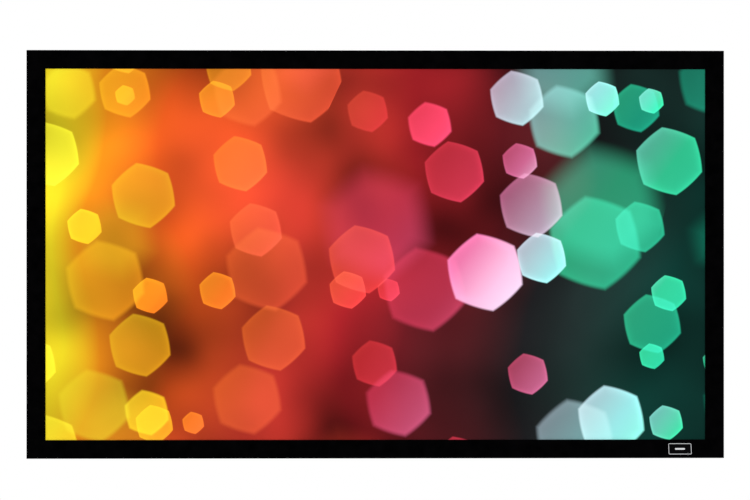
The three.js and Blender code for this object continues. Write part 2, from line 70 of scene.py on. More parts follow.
# %% [markdown]
# ## The camera
# The photograph looks straight at the middle of the screen. With nothing to show depth, only three things
# can be read from it: how wide the frame is in the picture, how high its middle sits, and that its left
# side is a little taller than its right one. The last means that the camera stood a touch to the left.

# %% Camera
PHOTO_WIDTH = 750
PHOTO_HEIGHT = 500
FRAME_WIDTH_IN_PHOTO = 697.7
FRAME_MIDDLE_IN_PHOTO = (375.9, 254.4)
CAMERA_DISTANCE = 4.0
CAMERA_TURN = math.radians(0.43)
SENSOR_WIDTH = 36


def add_object(name, data):
    """An object with this data, in the scene."""
    thing = bpy.data.objects.new(name, data)
    scene.collection.objects.link(thing)
    return thing


metres_per_pixel = (cad_high.x - cad_low.x) / FRAME_WIDTH_IN_PHOTO
camera_height = (FRAME_MIDDLE_IN_PHOTO[1] - PHOTO_HEIGHT / 2) * metres_per_pixel
aside = (FRAME_MIDDLE_IN_PHOTO[0] - PHOTO_WIDTH / 2) * metres_per_pixel / CAMERA_DISTANCE
camera_data = bpy.data.cameras.new("camera")
camera_data.sensor_width = SENSOR_WIDTH
camera_data.lens = SENSOR_WIDTH * CAMERA_DISTANCE / (PHOTO_WIDTH * metres_per_pixel)
camera = add_object("camera", camera_data)
camera.location = (
    -CAMERA_DISTANCE * math.sin(CAMERA_TURN),
    cad_low.y - CAMERA_DISTANCE * math.cos(CAMERA_TURN),
    camera_height,
)
camera.rotation_euler = (math.radians(90), 0, aside - CAMERA_TURN)
scene.camera = camera
print(f"camera with a {camera_data.lens:.1f} mm lens, {CAMERA_DISTANCE} m in front")

# %% [markdown]
# ## The four sides
# All four sides of the frame have the same section, turned. So a place on the frame is given by three
# numbers: how far along the side it is, how far in from the outer edge, and how deep behind the front. One
# small class turns those into a point in space, and each piece can then be described once for all sides.


# %% Places on a side
class Side:
    def __init__(self, origin, along, inward, turn, half_length):
        self.origin, self.along, self.inward = Vector(origin), Vector(along), Vector(inward)
        self.turn, self.half_length = turn, half_length

    def at(self, along, inward, depth):
        return self.origin + self.along * along + self.inward * inward + Vector((0, depth, 0))


rail_low, rail_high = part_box("rail_left")
FRONT = rail_low.y
FRAME_DEPTH = rail_high.y - rail_low.y
FACE_WIDTH = rail_high.x - rail_low.x
HALF_WIDTH = (cad_high.x - cad_low.x) / 2
HALF_HEIGHT = (cad_high.z - cad_low.z) / 2
QUARTER = math.pi / 2
# the outer part of a rail is a box with a slot in its back, and pieces keep a small gap to it
BOX_WIDTH = 0.017
RAIL_WALL = 0.0018
SLOT_LIP = 0.003
SLOT_DEPTH = 0.0062
SLOT_CENTRE = BOX_WIDTH / 2
CLEARANCE = 0.0003

SIDES = {
    "bottom": Side((0, FRONT, -HALF_HEIGHT), (1, 0, 0), (0, 0, 1), 0, HALF_WIDTH),
    "right": Side((HALF_WIDTH, FRONT, 0), (0, 0, 1), (-1, 0, 0), -QUARTER, HALF_HEIGHT),
    "top": Side((0, FRONT, HALF_HEIGHT), (-1, 0, 0), (0, 0, -1), 2 * QUARTER, HALF_WIDTH),
    "left": Side((-HALF_WIDTH, FRONT, 0), (0, 0, -1), (1, 0, 0), QUARTER, HALF_HEIGHT),
}
HALVES = {"top": ("right", "left"), "bottom": ("left", "right")}
FIRST_CORNER = {"bottom": "bottom_left", "right": "bottom_right", "top": "top_right", "left": "top_left"}
SPRINGS_PER_SIDE = {"bottom": 10, "right": 6, "top": 10, "left": 6}


def spring_places(name):
    """Where the springs of a side are, along it: evenly over the edge of the picture."""
    count = SPRINGS_PER_SIDE[name]
    length = 2 * (SIDES[name].half_length - FACE_WIDTH)
    return [((i + 0.5) / count - 0.5) * length for i in range(count)]


print(f"frame {2000 * HALF_WIDTH:.0f} x {2000 * HALF_HEIGHT:.0f} mm, {1000 * FACE_WIDTH:.0f} mm wide")

# %% [markdown]
# ## Tools for finishes
# A finish here is a small tree of nodes. Colour, roughness and bump come from noise that is read at
# Object coordinates, so the grain has a real size in metres and needs no unwrapping. A few helpers keep
# the trees short, and one class holds what every finish has: a shader, its grains, and how they feed it.


# %% Node helpers
def put(tree, kind, inputs=None, **settings):
    """Adds a node. An input is given by its name or number, as a value or as the socket that feeds it."""
    node = tree.nodes.new(kind)
    for key, value in settings.items():
        setattr(node, key, value)
    for key, value in (inputs or {}).items():
        if isinstance(value, bpy.types.NodeSocket):
            tree.links.new(value, node.inputs[key])
        else:
            node.inputs[key].default_value = value
    return node


def feed(tree, kind, inputs=None, **settings):
    """Adds a node and gives its first output."""
    return put(tree, kind, inputs, **settings).outputs[0]


def maths(tree, operation, *values):
    return feed(tree, "ShaderNodeMath", dict(enumerate(values)), operation=operation)


def noise(tree, place, scale, detail=2, stretch=None):
    """Noise from 0 to 1, with scale in features per metre, drawn out along an axis where stretch is given."""
    if stretch:
        place = feed(tree, "ShaderNodeMapping", {"Vector": place, "Scale": stretch})
    inputs = {"Vector": place, "Scale": scale, "Detail": detail, "Roughness": 0.55}
    return feed(tree, "ShaderNodeTexNoise", inputs)


def spread(tree, factor, low, high):
    """Stretches the middle of a noise to run from low to high."""
    inputs = {"Value": factor, "From Min": 0.3, "From Max": 0.7, "To Min": low, "To Max": high}
    return feed(tree, "ShaderNodeMapRange", inputs)


def mix_colours(tree, factor, first, second, blend="MIX"):
    """Mixes two colours, each a value or a socket."""
    first, second = [c if isinstance(c, bpy.types.NodeSocket) else (*c, 1) for c in (first, second)]
    inputs = {0: factor, 6: first, 7: second}
    return put(tree, "ShaderNodeMix", inputs, data_type="RGBA", blend_type=blend).outputs[2]


class Finish:
    """A material with one Principled shader. Values that are the same all over sit on its own sockets."""

    def __init__(self, name, **shader_values):
        self.material = bpy.data.materials.new(name)
        self.material.use_nodes = True
        self.tree = self.material.node_tree
        self.tree.nodes.clear()
        values = {key.replace("_", " "): value for key, value in shader_values.items()}
        self.shader = put(self.tree, "ShaderNodeBsdfPrincipled", values)
        put(self.tree, "ShaderNodeOutputMaterial", {"Surface": self.shader.outputs[0]})
        self.place = put(self.tree, "ShaderNodeTexCoord").outputs["Object"]
        self.normal = {}

    def grain(self, scale, detail=2, stretch=None):
        return noise(self.tree, self.place, scale, detail, stretch)

    def blend(self, grain, first, second, most=1):
        """From the first colour to the second, by a grain, up to a share of most."""
        return mix_colours(self.tree, spread(self.tree, grain, 0, most), first, second)

    def relief(self, height, distance, strength):
        """Bumps the surface, on top of the relief that it already has."""
        inputs = {"Height": height, "Distance": distance, "Strength": strength, **self.normal}
        self.normal = {"Normal": feed(self.tree, "ShaderNodeBump", inputs)}
        self.tree.links.new(self.normal["Normal"], self.shader.inputs["Normal"])

    def dress(self, colour, roughness=None, relief=None):
        """Ends the finish: a colour, a roughness (grain, low, high), a relief (grain, distance, strength)."""
        self.tree.links.new(colour, self.shader.inputs["Base Color"])
        if roughness:
            self.tree.links.new(spread(self.tree, *roughness), self.shader.inputs["Roughness"])
        if relief:
            self.relief(*relief)
        return self.material


print("node helpers are ready")

# %% [markdown]
# ## Velvet
# The frame's velvet has a pile so deep that it sends almost no light back, and in the photograph it is
# pure black. Three things make velvet and not black paint: no gloss at all, a soft sheen where we look
# along the pile, and patches where the pile lies another way. The sheen's roughness is kept low, because
# then it shows from the side and leaves the front black. The patches are slow noise in colour and bump.

# %% Velvet
cloth = Finish(
    "black_velvet",
    Roughness=1.0,
    Specular_IOR_Level=0.0,
    Sheen_Weight=0.2,
    Sheen_Roughness=0.28,
    Sheen_Tint=(0.55, 0.56, 0.6, 1),
)
nap, pile = cloth.grain(28, 3), cloth.grain(2600, 1)
cloth.relief(nap, 0.0012, 0.6)
colour = cloth.blend(nap, (0.0004, 0.0004, 0.0005), (0.0013, 0.0012, 0.0014))
velvet = cloth.dress(colour, relief=(pile, 0.00025, 0.7))
print("made", velvet.name)

# %% [markdown]
# ## Metals and plastics behind the sheet
# From behind, the screen is a workshop of plain finishes: dark anodised rails, bright zinc on the plates,
# brushed aluminium on the centre bar, powder coat on the brackets, spring wire and glass fibre. Rolled
# and drawn metals show long streaks, plated ones soft blotches, and powder coat a fine orange peel.

# %% Drawn and brushed metal
ALONG_X = (0.02, 1, 1)
ALONG_Z = (1, 1, 0.02)
ANODISED = ((0.012, 0.012, 0.013), (0.03, 0.03, 0.032), 0.5)


def streaked_metal(name, dark, light, roughness, stretch, scale, metallic=1.0):
    metal = Finish(name, Metallic=metallic)
    streaks, blotches = metal.grain(scale, 4, stretch), metal.grain(9)
    colour = metal.blend(streaks, metal.blend(blotches, dark, light, most=0.35), light)
    return metal.dress(colour, (streaks, roughness - 0.07, roughness + 0.09), (streaks, 0.00003, 0.6))


bar_colours, wire_colours = ((0.5, 0.51, 0.52), (0.68, 0.69, 0.7)), ((0.42, 0.43, 0.45), (0.62, 0.63, 0.65))
brushed_aluminium = streaked_metal("brushed_aluminium", *bar_colours, 0.38, ALONG_Z, 900)
spring_wire = streaked_metal("spring_wire", *wire_colours, 0.26, ALONG_Z, 700)
anodised_across = streaked_metal("anodised_across", *ANODISED, ALONG_X, 600, 0.4)
anodised_up = streaked_metal("anodised_up", *ANODISED, ALONG_Z, 600, 0.4)
print("made four streaked metals")

# %% Zinc plate, powder coat and glass fibre
plating = Finish("zinc_plate", Metallic=1.0)
bloom, fine = plating.grain(130, 4), plating.grain(1500)
colour = plating.blend(bloom, (0.42, 0.43, 0.45), (0.6, 0.61, 0.61))
zinc = plating.dress(colour, (bloom, 0.28, 0.46), (fine, 0.00002, 0.5))

coat = Finish("powder_coat", Specular_IOR_Level=0.4)
peel, cloud = coat.grain(700), coat.grain(25)
colour = coat.blend(cloud, (0.013, 0.013, 0.014), (0.02, 0.02, 0.021))
powder_coat = coat.dress(colour, (peel, 0.42, 0.58), (peel, 0.0001, 0.5))

pole = Finish("glass_fibre", Coat_Weight=0.3, Coat_Roughness=0.25)
fibres, patches = pole.grain(1400, 3), pole.grain(40)
fresh = pole.blend(fibres, (0.62, 0.57, 0.4), (0.8, 0.77, 0.64))
faded = pole.blend(patches, fresh, (0.72, 0.7, 0.55), most=0.5)
glass_fibre = pole.dress(faded, (fibres, 0.35, 0.55), (fibres, 0.00005, 0.5))
print("made zinc, powder coat and glass fibre")

# %% [markdown]
# ## The vinyl and the picture on it
# The sheet is matt white vinyl with a black back, which stops light from behind. In the photograph the
# screen is lit with a picture: out-of-focus lights that run from yellow over red to a dark green. Its
# place holds a generic design of that kind, with six-sided lights in a layout of their own. Each layer
# of lights is one Voronoi texture, which scatters points. Around each point a six-sided distance is
# measured, and the light is as bright as its edge lets it be. One node group makes every layer.

# %% One layer of soft lights
# these lights belong to the projected picture, which is painted light: they are painted into the screen's
# base colour
LIGHT_COLOURS = (
    (0.00, (1.0, 0.96, 0.03)),
    (0.13, (1.0, 0.50, 0.01)),
    (0.25, (1.0, 0.19, 0.01)),
    (0.45, (1.0, 0.04, 0.05)),
    (0.60, (1.0, 0.06, 0.15)),
    (0.69, (1.0, 0.22, 0.48)),
    (0.76, (0.86, 0.80, 1.0)),
    (0.83, (0.40, 1.0, 1.0)),
    (0.91, (0.05, 0.92, 0.46)),
    (1.00, (0.01, 0.45, 0.27)),
)
SCATTER = 0.5
HEXAGON_TURN = math.radians(12)
ROUNDNESS = 0.3
SMALLEST = DIMMEST = 0.5
RIM_SHARPNESS = 9.0
RIM_LIGHT = 0.4
MIDDLE_LIGHT = 0.65
SLANT = (0.8, -0.6, 0)
SLANT_LIGHT = 0.25
HUE_START = 0.4
HUE_CHANCE = 0.2
HUE_SLANT = 0.03


def ramp(tree, factor, stops):
    node = put(tree, "ShaderNodeValToRGB", {"Fac": factor})
    elements = node.color_ramp.elements
    while len(elements) < len(stops):
        elements.new(0.5)
    for element, (position, colour) in zip(elements, stops):
        element.position = position
        element.color = (*colour, 1)
    return node.outputs[0]


def make_light_layer():
    """A node group: places on the picture in, colour of one layer of six-sided lights out."""
    group = bpy.data.node_groups.new("soft_lights", "ShaderNodeTree")
    for name in ("Place", "Shift"):
        group.interface.new_socket(name, in_out="INPUT", socket_type="NodeSocketVector")
    for name in ("Lights per Metre", "Radius", "Softness", "Share Lit", "Strength", "Width"):
        group.interface.new_socket(name, in_out="INPUT", socket_type="NodeSocketFloat")
    group.interface.new_socket("Color", in_out="OUTPUT", socket_type="NodeSocketColor")
    given = put(group, "NodeGroupInput").outputs

    def number(operation, *values):
        return maths(group, operation, *values)

    def vector(operation, *values):
        return put(group, "ShaderNodeVectorMath", dict(enumerate(values)), operation=operation).outputs

    # scattered points, three random numbers for each, and the way from the nearest one
    shifted = vector("ADD", given["Place"], given["Shift"])[0]
    scattering = {"Vector": shifted, "Scale": given["Lights per Metre"], "Randomness": SCATTER}
    scatter = put(group, "ShaderNodeTexVoronoi", scattering, voronoi_dimensions="2D").outputs
    dice = put(group, "ShaderNodeSeparateColor", {0: scatter["Color"]}).outputs
    offset = vector("SUBTRACT", shifted, scatter["Position"])[0]
    # the distance in a hexagon, a little rounded
    reach = 0.0
    for i in range(3):
        angle = HEXAGON_TURN + i * math.pi / 3
        facing = vector("DOT_PRODUCT", offset, (math.cos(angle), math.sin(angle), 0))["Value"]
        reach = number("MAXIMUM", reach, number("ABSOLUTE", facing))
    length = vector("LENGTH", offset)["Value"]
    reach = feed(group, "ShaderNodeMix", {0: ROUNDNESS, 2: reach, 3: length})
    # brightness: a soft edge, a bright rim, more light to one side
    radius = number("MULTIPLY_ADD", dice[0], 1 - SMALLEST, SMALLEST)
    radius = number("MULTIPLY", radius, given["Radius"])
    fading = {"From Min": number("SUBTRACT", radius, given["Softness"]), "From Max": radius}
    fading.update({"Value": reach, "To Min": 1.0, "To Max": 0.0})
    edge = feed(group, "ShaderNodeMapRange", fading, interpolation_type="SMOOTHSTEP")
    rim = number("POWER", number("DIVIDE", reach, radius), RIM_SHARPNESS)
    slant = number("DIVIDE", vector("DOT_PRODUCT", offset, SLANT)["Value"], radius)
    level = number("MULTIPLY_ADD", rim, RIM_LIGHT, MIDDLE_LIGHT)
    level = number("MULTIPLY", level, number("MULTIPLY_ADD", slant, SLANT_LIGHT, 1.0))
    level = number("MULTIPLY", level, number("LESS_THAN", dice[1], given["Share Lit"]))
    level = number("MULTIPLY", level, number("MULTIPLY_ADD", dice[2], 1 - DIMMEST, DIMMEST))
    level = number("MINIMUM", number("MULTIPLY", level, given["Strength"]), 1.0)
    level = number("MULTIPLY", level, edge)
    # colour: by how far to the right the point is, with some chance, and changing across the light
    across = vector("SUBTRACT", scatter["Position"], given["Shift"])[0]
    across = feed(group, "ShaderNodeSeparateXYZ", {0: across})
    hue = number("MULTIPLY_ADD", dice[2], HUE_CHANCE, HUE_START)
    hue = number("ADD", number("DIVIDE", across, given["Width"]), hue)
    colour = ramp(group, number("MULTIPLY_ADD", slant, HUE_SLANT, hue), LIGHT_COLOURS)
    lit = feed(group, "ShaderNodeVectorMath", {0: colour, "Scale": level}, operation="SCALE")
    put(group, "NodeGroupOutput", {"Color": lit})
    return group


light_layer = make_light_layer()
print(f"made the group {light_layer.name}, with {len(light_layer.nodes)} nodes")

# %% [markdown]
# The ground of the picture is a ramp from side to side, bent by slow noise and darkened in pockets. The
# layers of lights lie over it by the Screen blend, which adds light and never passes white. Big dim lights
# come first and small bright ones last, as in a photograph that is focused on something near.

# %% The picture
GROUND_COLOURS = (
    (0.00, (1.00, 0.80, 0.020)),
    (0.07, (0.95, 0.30, 0.010)),
    (0.20, (0.86, 0.11, 0.013)),
    (0.38, (0.72, 0.05, 0.030)),
    (0.52, (0.40, 0.015, 0.020)),
    (0.64, (0.12, 0.008, 0.012)),
    (0.78, (0.014, 0.014, 0.016)),
    (1.00, (0.003, 0.044, 0.034)),
)
GROUND_TILT = 0.22
# a slow noise, as features per metre and detail, and the range that it is spread over
GROUND_BEND = ((1.3, 1), (0.43, 0.57))
GROUND_POCKETS = ((1.9, 1.5), (0.03, 1.2))
LAYER_INPUTS = ("Lights per Metre", "Radius", "Softness", "Share Lit", "Strength", "Shift")
LIGHT_LAYERS = (
    (1.4, 0.220, 0.100, 0.85, 0.45, (0.31, 0.12, 0)),
    (1.9, 0.165, 0.020, 0.85, 0.60, (4.75, 2.23, 0)),
    (2.3, 0.135, 0.008, 0.75, 0.80, (7.42, 5.61, 0)),
    (2.9, 0.110, 0.006, 0.50, 1.10, (9.18, 1.47, 0)),
    (2.1, 0.130, 0.010, 0.40, 1.60, (3.66, 6.28, 0)),
    (4.6, 0.062, 0.004, 0.25, 1.50, (2.37, 8.84, 0)),
)

# the projector's picture is painted light: its colours are painted into the base colour of the white vinyl
# face, not cast by a lamp
face = Finish("screen_face", Roughness=0.92, Specular_IOR_Level=0.1)
tree = face.tree
x, _, z = put(tree, "ShaderNodeSeparateXYZ", {0: face.place}).outputs
spot = feed(tree, "ShaderNodeCombineXYZ", {0: x, 1: z})
width = 2 * (HALF_WIDTH - FACE_WIDTH)
slow = [spread(tree, noise(tree, spot, *grain), *ends) for grain, ends in (GROUND_BEND, GROUND_POCKETS)]
across = maths(tree, "ADD", maths(tree, "DIVIDE", x, width), slow[0])
tilt = maths(tree, "MULTIPLY", z, GROUND_TILT / width)
ground = ramp(tree, maths(tree, "SUBTRACT", across, tilt), GROUND_COLOURS)
picture = feed(tree, "ShaderNodeVectorMath", {0: ground, "Scale": slow[1]}, operation="SCALE")
for sizes in LIGHT_LAYERS:
    inputs = {"Place": spot, "Width": width, **dict(zip(LAYER_INPUTS, sizes))}
    lights = feed(tree, "ShaderNodeGroup", inputs, node_tree=light_layer)
    picture = mix_colours(tree, 1.0, picture, lights, blend="SCREEN")
# the painted projection becomes the face's base colour, and the vinyl's own grain stays in the bump
screen_face = face.dress(picture, relief=(face.grain(1800, 1), 0.00004, 0.4))
print(f"made the screen's face with {len(LIGHT_LAYERS)} layers of lights")


# %% Vinyl
def make_vinyl(name, dark, light, roughness):
    vinyl = Finish(name, Specular_IOR_Level=0.3)
    grain, cloud = vinyl.grain(1600), vinyl.grain(6)
    rough = (grain, roughness - 0.08, roughness + 0.08)
    return vinyl.dress(vinyl.blend(cloud, dark, light), rough, (grain, 0.00006, 0.5))


vinyl_white = make_vinyl("vinyl_white", (0.8, 0.8, 0.79), (0.86, 0.86, 0.85), 0.7)
vinyl_black = make_vinyl("vinyl_black", (0.011, 0.011, 0.012), (0.016, 0.016, 0.017), 0.62)
print("made white and black vinyl")

# %% [markdown]
# ## Tools for meshes
# Most pieces here are swept or cut from flat stock. A swept piece is a skin over rings of points. A flat
# one is easiest as a 2D curve: it fills its outline, leaves its holes open, and its extrude and bevel give
# the thickness and the broken edge at once. Each point is then carried to its place on the frame.


# %% Mesh helpers
def add_piece(name, mesh, materials, stands_for=(), smooth_below=30):
    """Puts a finished mesh into the scene, as a piece that rides on the frame and may replace solids."""
    for material in materials:
        mesh.materials.append(material)
    mesh.polygons.foreach_set("use_smooth", [True] * len(mesh.polygons))
    mesh.set_sharp_from_angle(angle=math.radians(smooth_below))
    piece = add_object(name, mesh)
    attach(piece, "root")
    if stands_for:
        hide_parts(*stands_for)
    return piece


def mesh_from(vertices, faces=(), edges=()):
    mesh = bpy.data.meshes.new("mesh")
    mesh.from_pydata([tuple(v) for v in vertices], edges, faces)
    mesh.validate()
    return mesh


def merge_doubles(mesh, distance=1e-6):
    """Joins vertices that lie together, and points every face of a closed mesh outwards."""
    cage = bmesh.new()
    cage.from_mesh(mesh)
    bmesh.ops.remove_doubles(cage, verts=cage.verts, dist=distance)
    bmesh.ops.recalc_face_normals(cage, faces=cage.faces)
    # crossed faces can mislead that, and then the volume of a mesh that is inside out is negative
    if cage.calc_volume(signed=True) < 0:
        bmesh.ops.reverse_faces(cage, faces=cage.faces)
    cage.to_mesh(mesh)
    cage.free()


def skin(rings):
    """A closed mesh over rings of points, all with as many points, with its two ends filled."""
    count = len(rings[0])
    last = (len(rings) - 1) * count
    faces = [range(count), range(last + count - 1, last - 1, -1)]
    for k in range(0, last, count):
        for i in range(count):
            this, after = k + i, k + (i + 1) % count
            faces.append((after, this, this + count, after + count))
    mesh = mesh_from([v for ring in rings for v in ring], faces)
    merge_doubles(mesh, 1e-8)
    return mesh


def joined_mesh(meshes):
    """Several meshes as one."""
    cage = bmesh.new()
    for mesh in meshes:
        cage.from_mesh(mesh)
        bpy.data.meshes.remove(mesh)
    whole = bpy.data.meshes.new("joined")
    cage.to_mesh(whole)
    cage.free()
    return whole


def plain_mesh(carrier):
    """The mesh that a curve or a modifier makes. The object that made it is removed."""
    graph = bpy.context.evaluated_depsgraph_get()
    mesh = bpy.data.meshes.new_from_object(carrier.evaluated_get(graph), depsgraph=graph)
    bpy.data.objects.remove(carrier)
    return mesh


def circle(x, y, radius, sides=24):
    """Points round (x, y). The radius is a number, or a function of the angle."""
    points = []
    for turn in [2 * math.pi * i / sides for i in range(sides)]:
        reach = radius(turn) if callable(radius) else radius
        points.append((x + reach * math.cos(turn), y + reach * math.sin(turn)))
    return points


def rounded_rectangle(low, high, radius, inset=0, steps=6):
    """Its points, counter-clockwise. With a radius of half its width it is an oblong slot."""
    points = []
    for right, top, quarter in ((0, 0, 2), (1, 0, 3), (1, 1, 0), (0, 1, 1)):
        cx = high[0] - inset - radius if right else low[0] + inset + radius
        cy = high[1] - inset - radius if top else low[1] + inset + radius
        for i in range(steps + 1):
            t = (quarter + i / steps) * QUARTER
            point = (cx + radius * math.cos(t), cy + radius * math.sin(t))
            if not points or math.dist(point, points[-1]) > 1e-9:
                points.append(point)
    return points


def add_spline(curve, kind, points):
    spline = curve.splines.new(kind)
    spline.points.add(len(points) - 1)
    for point, place in zip(spline.points, points):
        point.co = (*place, 1)
    return spline


def flat_stock(outline, holes, thickness, edge, edge_steps=1):
    """A mesh cut from flat stock, in X and Y with Z through it, its edges broken by edge."""
    curve = bpy.data.curves.new("outline", "CURVE")
    curve.dimensions = "2D"
    curve.fill_mode = "BOTH"
    curve.extrude = thickness / 2 - edge
    curve.bevel_depth = edge
    curve.bevel_resolution = edge_steps
    curve.offset = -edge
    for points in (outline, *holes):
        add_spline(curve, "POLY", [(x, y, 0) for x, y in points]).use_cyclic_u = True
    mesh = plain_mesh(add_object("outline", curve))
    merge_doubles(mesh)
    return mesh


def carry(mesh, move):
    """Moves each vertex of a mesh to move(x, y, z), and points the faces outwards again."""
    for vertex in mesh.vertices:
        vertex.co = move(*vertex.co)
    merge_doubles(mesh)
    return mesh


print("mesh helpers are ready")

# %% [markdown]
# ## The velvet wrap
# Each rail is wrapped in its own strip of velvet before the frame is put together. The strip starts on the
# back of the rail, goes round the outer side, over the bevelled face and the round nose, and ends under the
# sheet. We follow that path once as a list of points, each with the direction that faces out of the rail,
# and sweep it along the side. The pile lies flat where the sheet or a clip presses on it, so the strip is
# thin there. At its ends it thins out as well, so a fine groove shows where two rails meet, and the thin
# ends are pressed together by a hair, so that no light comes through the joint.

# %% Path of the wrap round the rail
WRAP_THICKNESS = 0.0006
WRAP_THIN = 0.0002
WRAP_LIFT = 0.00003
EDGE_RADIUS = 0.003
BEVEL_START = 0.008
NOSE_RADIUS = 0.0013
SEAT_DEPTH = 0.0116
HEM_ON_BACK = 0.0044
SEAT_REACH = 0.0532

nose_inward = FACE_WIDTH - NOSE_RADIUS
nose_depth = SEAT_DEPTH - NOSE_RADIUS
bevel_run = nose_inward - BEVEL_START
BEVEL_ANGLE = math.atan2(nose_depth, bevel_run) - math.asin(NOSE_RADIUS / math.hypot(bevel_run, nose_depth))


def arc(inward, depth, radius, first, last, steps):
    """Points of an arc in a section, each (inward, depth, angle that faces out)."""
    angles = [first + (last - first) * i / steps for i in range(steps + 1)]
    return [(inward + radius * math.cos(a), depth + radius * math.sin(a), a) for a in angles]


def thickening(points, thin_at, full_at):
    """Gives each point of an arc a thickness, from thin at one angle to full at the other."""
    more = (WRAP_THICKNESS - WRAP_THIN) / (full_at - thin_at)
    return [(*point, WRAP_THIN + more * (point[2] - thin_at)) for point in points]


to_back, to_side, to_front = QUARTER, 2 * QUARTER, 3 * QUARTER
to_bevel, past_nose = to_front + BEVEL_ANGLE, 5 * QUARTER
front = arc(EDGE_RADIUS, EDGE_RADIUS, EDGE_RADIUS, to_side, to_front, 8)
front += arc(BEVEL_START, 0, 0, to_front, to_bevel, 2)
nose = arc(nose_inward, nose_depth, NOSE_RADIUS, to_bevel, past_nose, 10)
# (inward, depth, angle that faces out, thickness) of each point, from the hem
wrap_path = [
    (HEM_ON_BACK, FRAME_DEPTH, to_back, WRAP_THIN),
    *thickening(arc(0, FRAME_DEPTH, 0, to_back, to_side, 4), to_back, to_side),
    *[(*point, WRAP_THICKNESS) for point in front],
    *thickening(nose, past_nose, to_bevel),
    (SEAT_REACH, SEAT_DEPTH, past_nose, WRAP_THIN),
]
print(f"{len(wrap_path)} points, and the face slopes by {math.degrees(BEVEL_ANGLE):.1f} degrees")

# %% Sweep the wrap along the rails
# how full the wrap is at each distance from its end
WRAP_END = ((0.0, 0.1), (0.0001, 0.55), (0.0004, 0.88), (0.0009, 1.0))
JOINT_PRESS = 0.00003
WRAP_STRETCHES = 12


def wrap_mesh(side, first, last, mitre_first, mitre_last):
    """The velvet on one rail, from first to last along the side. A mitre is 1 for a mitred end, or 0."""
    start, end = first + mitre_first * FACE_WIDTH, last - mitre_last * FACE_WIDTH
    stations = [(first + inset, mitre_first, full) for inset, full in WRAP_END]
    for i in range(1, WRAP_STRETCHES):
        stations.append((start + (end - start) * i / WRAP_STRETCHES, 0, 1))
    stations += [(last - inset, -mitre_last, full) for inset, full in reversed(WRAP_END)]
    rings = []
    for along, mitre, full in stations:
        outer, inner = [], []
        for layer, fullness in ((outer, full), (inner, 0)):
            for inward, depth, angle, thickness in wrap_path:
                lift = WRAP_LIFT + thickness * fullness
                place = (inward + lift * math.cos(angle), depth + lift * math.sin(angle))
                layer.append(side.at(along + mitre * inward, *place))
        rings.append(outer + inner[::-1])
    return skin(rings)


faces = 0
for name, side in SIDES.items():
    end = side.half_length + JOINT_PRESS
    stretches = [(name, -end, end, 1, 1)]
    if name in HALVES:
        first, second = HALVES[name]
        stretches = [(f"{name}_{first}", -end, JOINT_PRESS, 1, 0)]
        stretches += [(f"{name}_{second}", -JOINT_PRESS, end, 0, 1)]
    for label, *ends in stretches:
        mesh = wrap_mesh(side, *ends)
        faces += len(mesh.polygons)
        add_piece(f"velvet_wrap_{label}", mesh, [velvet], smooth_below=40)
print(f"wrapped the rails in velvet, {faces} faces")

# %% [markdown]
# ## The rails
# The rails themselves show only from behind, where their slots and the rib for the springs are. Their
# solids are right as they are, so they only get a finish. The streaks of an extrusion run along it, so the
# long rails and the short ones take two versions of the same finish, with the streaks turned.

# %% Finish of the rails
for name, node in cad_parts.items():
    if name.startswith("rail_"):
        node.data.materials.clear()
        node.data.materials.append(anodised_up if name in ("rail_left", "rail_right") else anodised_across)
print("finished the rails")

# %% [markdown]
# ## The sheet
# The sheet is one piece of vinyl, half a millimetre thick. Along each edge it turns back round a rod and is
# welded to itself, which makes a sleeve. At each spring the sleeve is notched, so that the hook can reach
# the rod. Flat part and sleeves are built from the same numbers: the flat part is one outline with its
# notches, and each stretch of sleeve between two notches is a bent strip, swept along the edge.

# %% Flat part of the sheet
rod_low, rod_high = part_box("tension_rod_left")
SHEET_THICKNESS = 0.0005
SHEET_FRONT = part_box("screen_sheet")[0].y - FRONT
ROD_INWARD = (rod_low.x + rod_high.x) / 2 + HALF_WIDTH
ROD_DEPTH = (rod_low.y + rod_high.y) / 2 - FRONT
ROD_RADIUS = (rod_high.y - rod_low.y) / 2
CORNER_CUT = 0.012
NOTCH_WIDTH = 0.022
NOTCH_MARGIN = 0.005
SHEET_FACE, SHEET_BACK, SHEET_HEM = range(3)

# (side, along, inward) of each corner, counter-clockwise from the front
outline = []
for name, side in SIDES.items():
    end, notch = side.half_length - ROD_INWARD - CORNER_CUT, ROD_INWARD + NOTCH_MARGIN
    outline.append((side, -end, ROD_INWARD))
    for place in spring_places(name):
        low, high = place - NOTCH_WIDTH / 2, place + NOTCH_WIDTH / 2
        for along, inwards in ((low, (ROD_INWARD, notch)), (high, (notch, ROD_INWARD))):
            outline += [(side, along, inward) for inward in inwards]
    outline.append((side, end, ROD_INWARD))
depths = (SHEET_FRONT, SHEET_FRONT + SHEET_THICKNESS)
flat_mesh = skin([[side.at(*place, depth) for side, *place in outline] for depth in depths])
for polygon in flat_mesh.polygons:
    polygon.material_index = {-1: SHEET_FACE, 1: SHEET_BACK}.get(round(polygon.normal.y), SHEET_HEM)

# %% Sleeves of the sheet
SLEEVE_END_INSET = 0.038
WELD_REACH = 0.0105
# where the tab of the sleeve leaves the sheet: distance from the rod, lift, share of a quarter turn
TAB_END = (0.0046, 0, 1)
TAB_BEND = (0.0034, 0.0004, 0.62)
LOOP_START = math.radians(-14)

# middle of the bent strip, as (inward, depth, angle that faces out of the loop)
tab = SHEET_FRONT + 1.5 * SHEET_THICKNESS
ends = ((WELD_REACH, 0, 1), TAB_END, TAB_BEND)
strip = [(ROD_INWARD + reach, tab + lift, QUARTER * turn) for reach, lift, turn in ends]
loop_radius = ROD_RADIUS + CLEARANCE + SHEET_THICKNESS / 2
strip += arc(ROD_INWARD, ROD_DEPTH, loop_radius, LOOP_START, 3 * QUARTER, 14)
strip_width = sum(math.dist(a[:2], b[:2]) for a, b in zip(strip, strip[1:]))
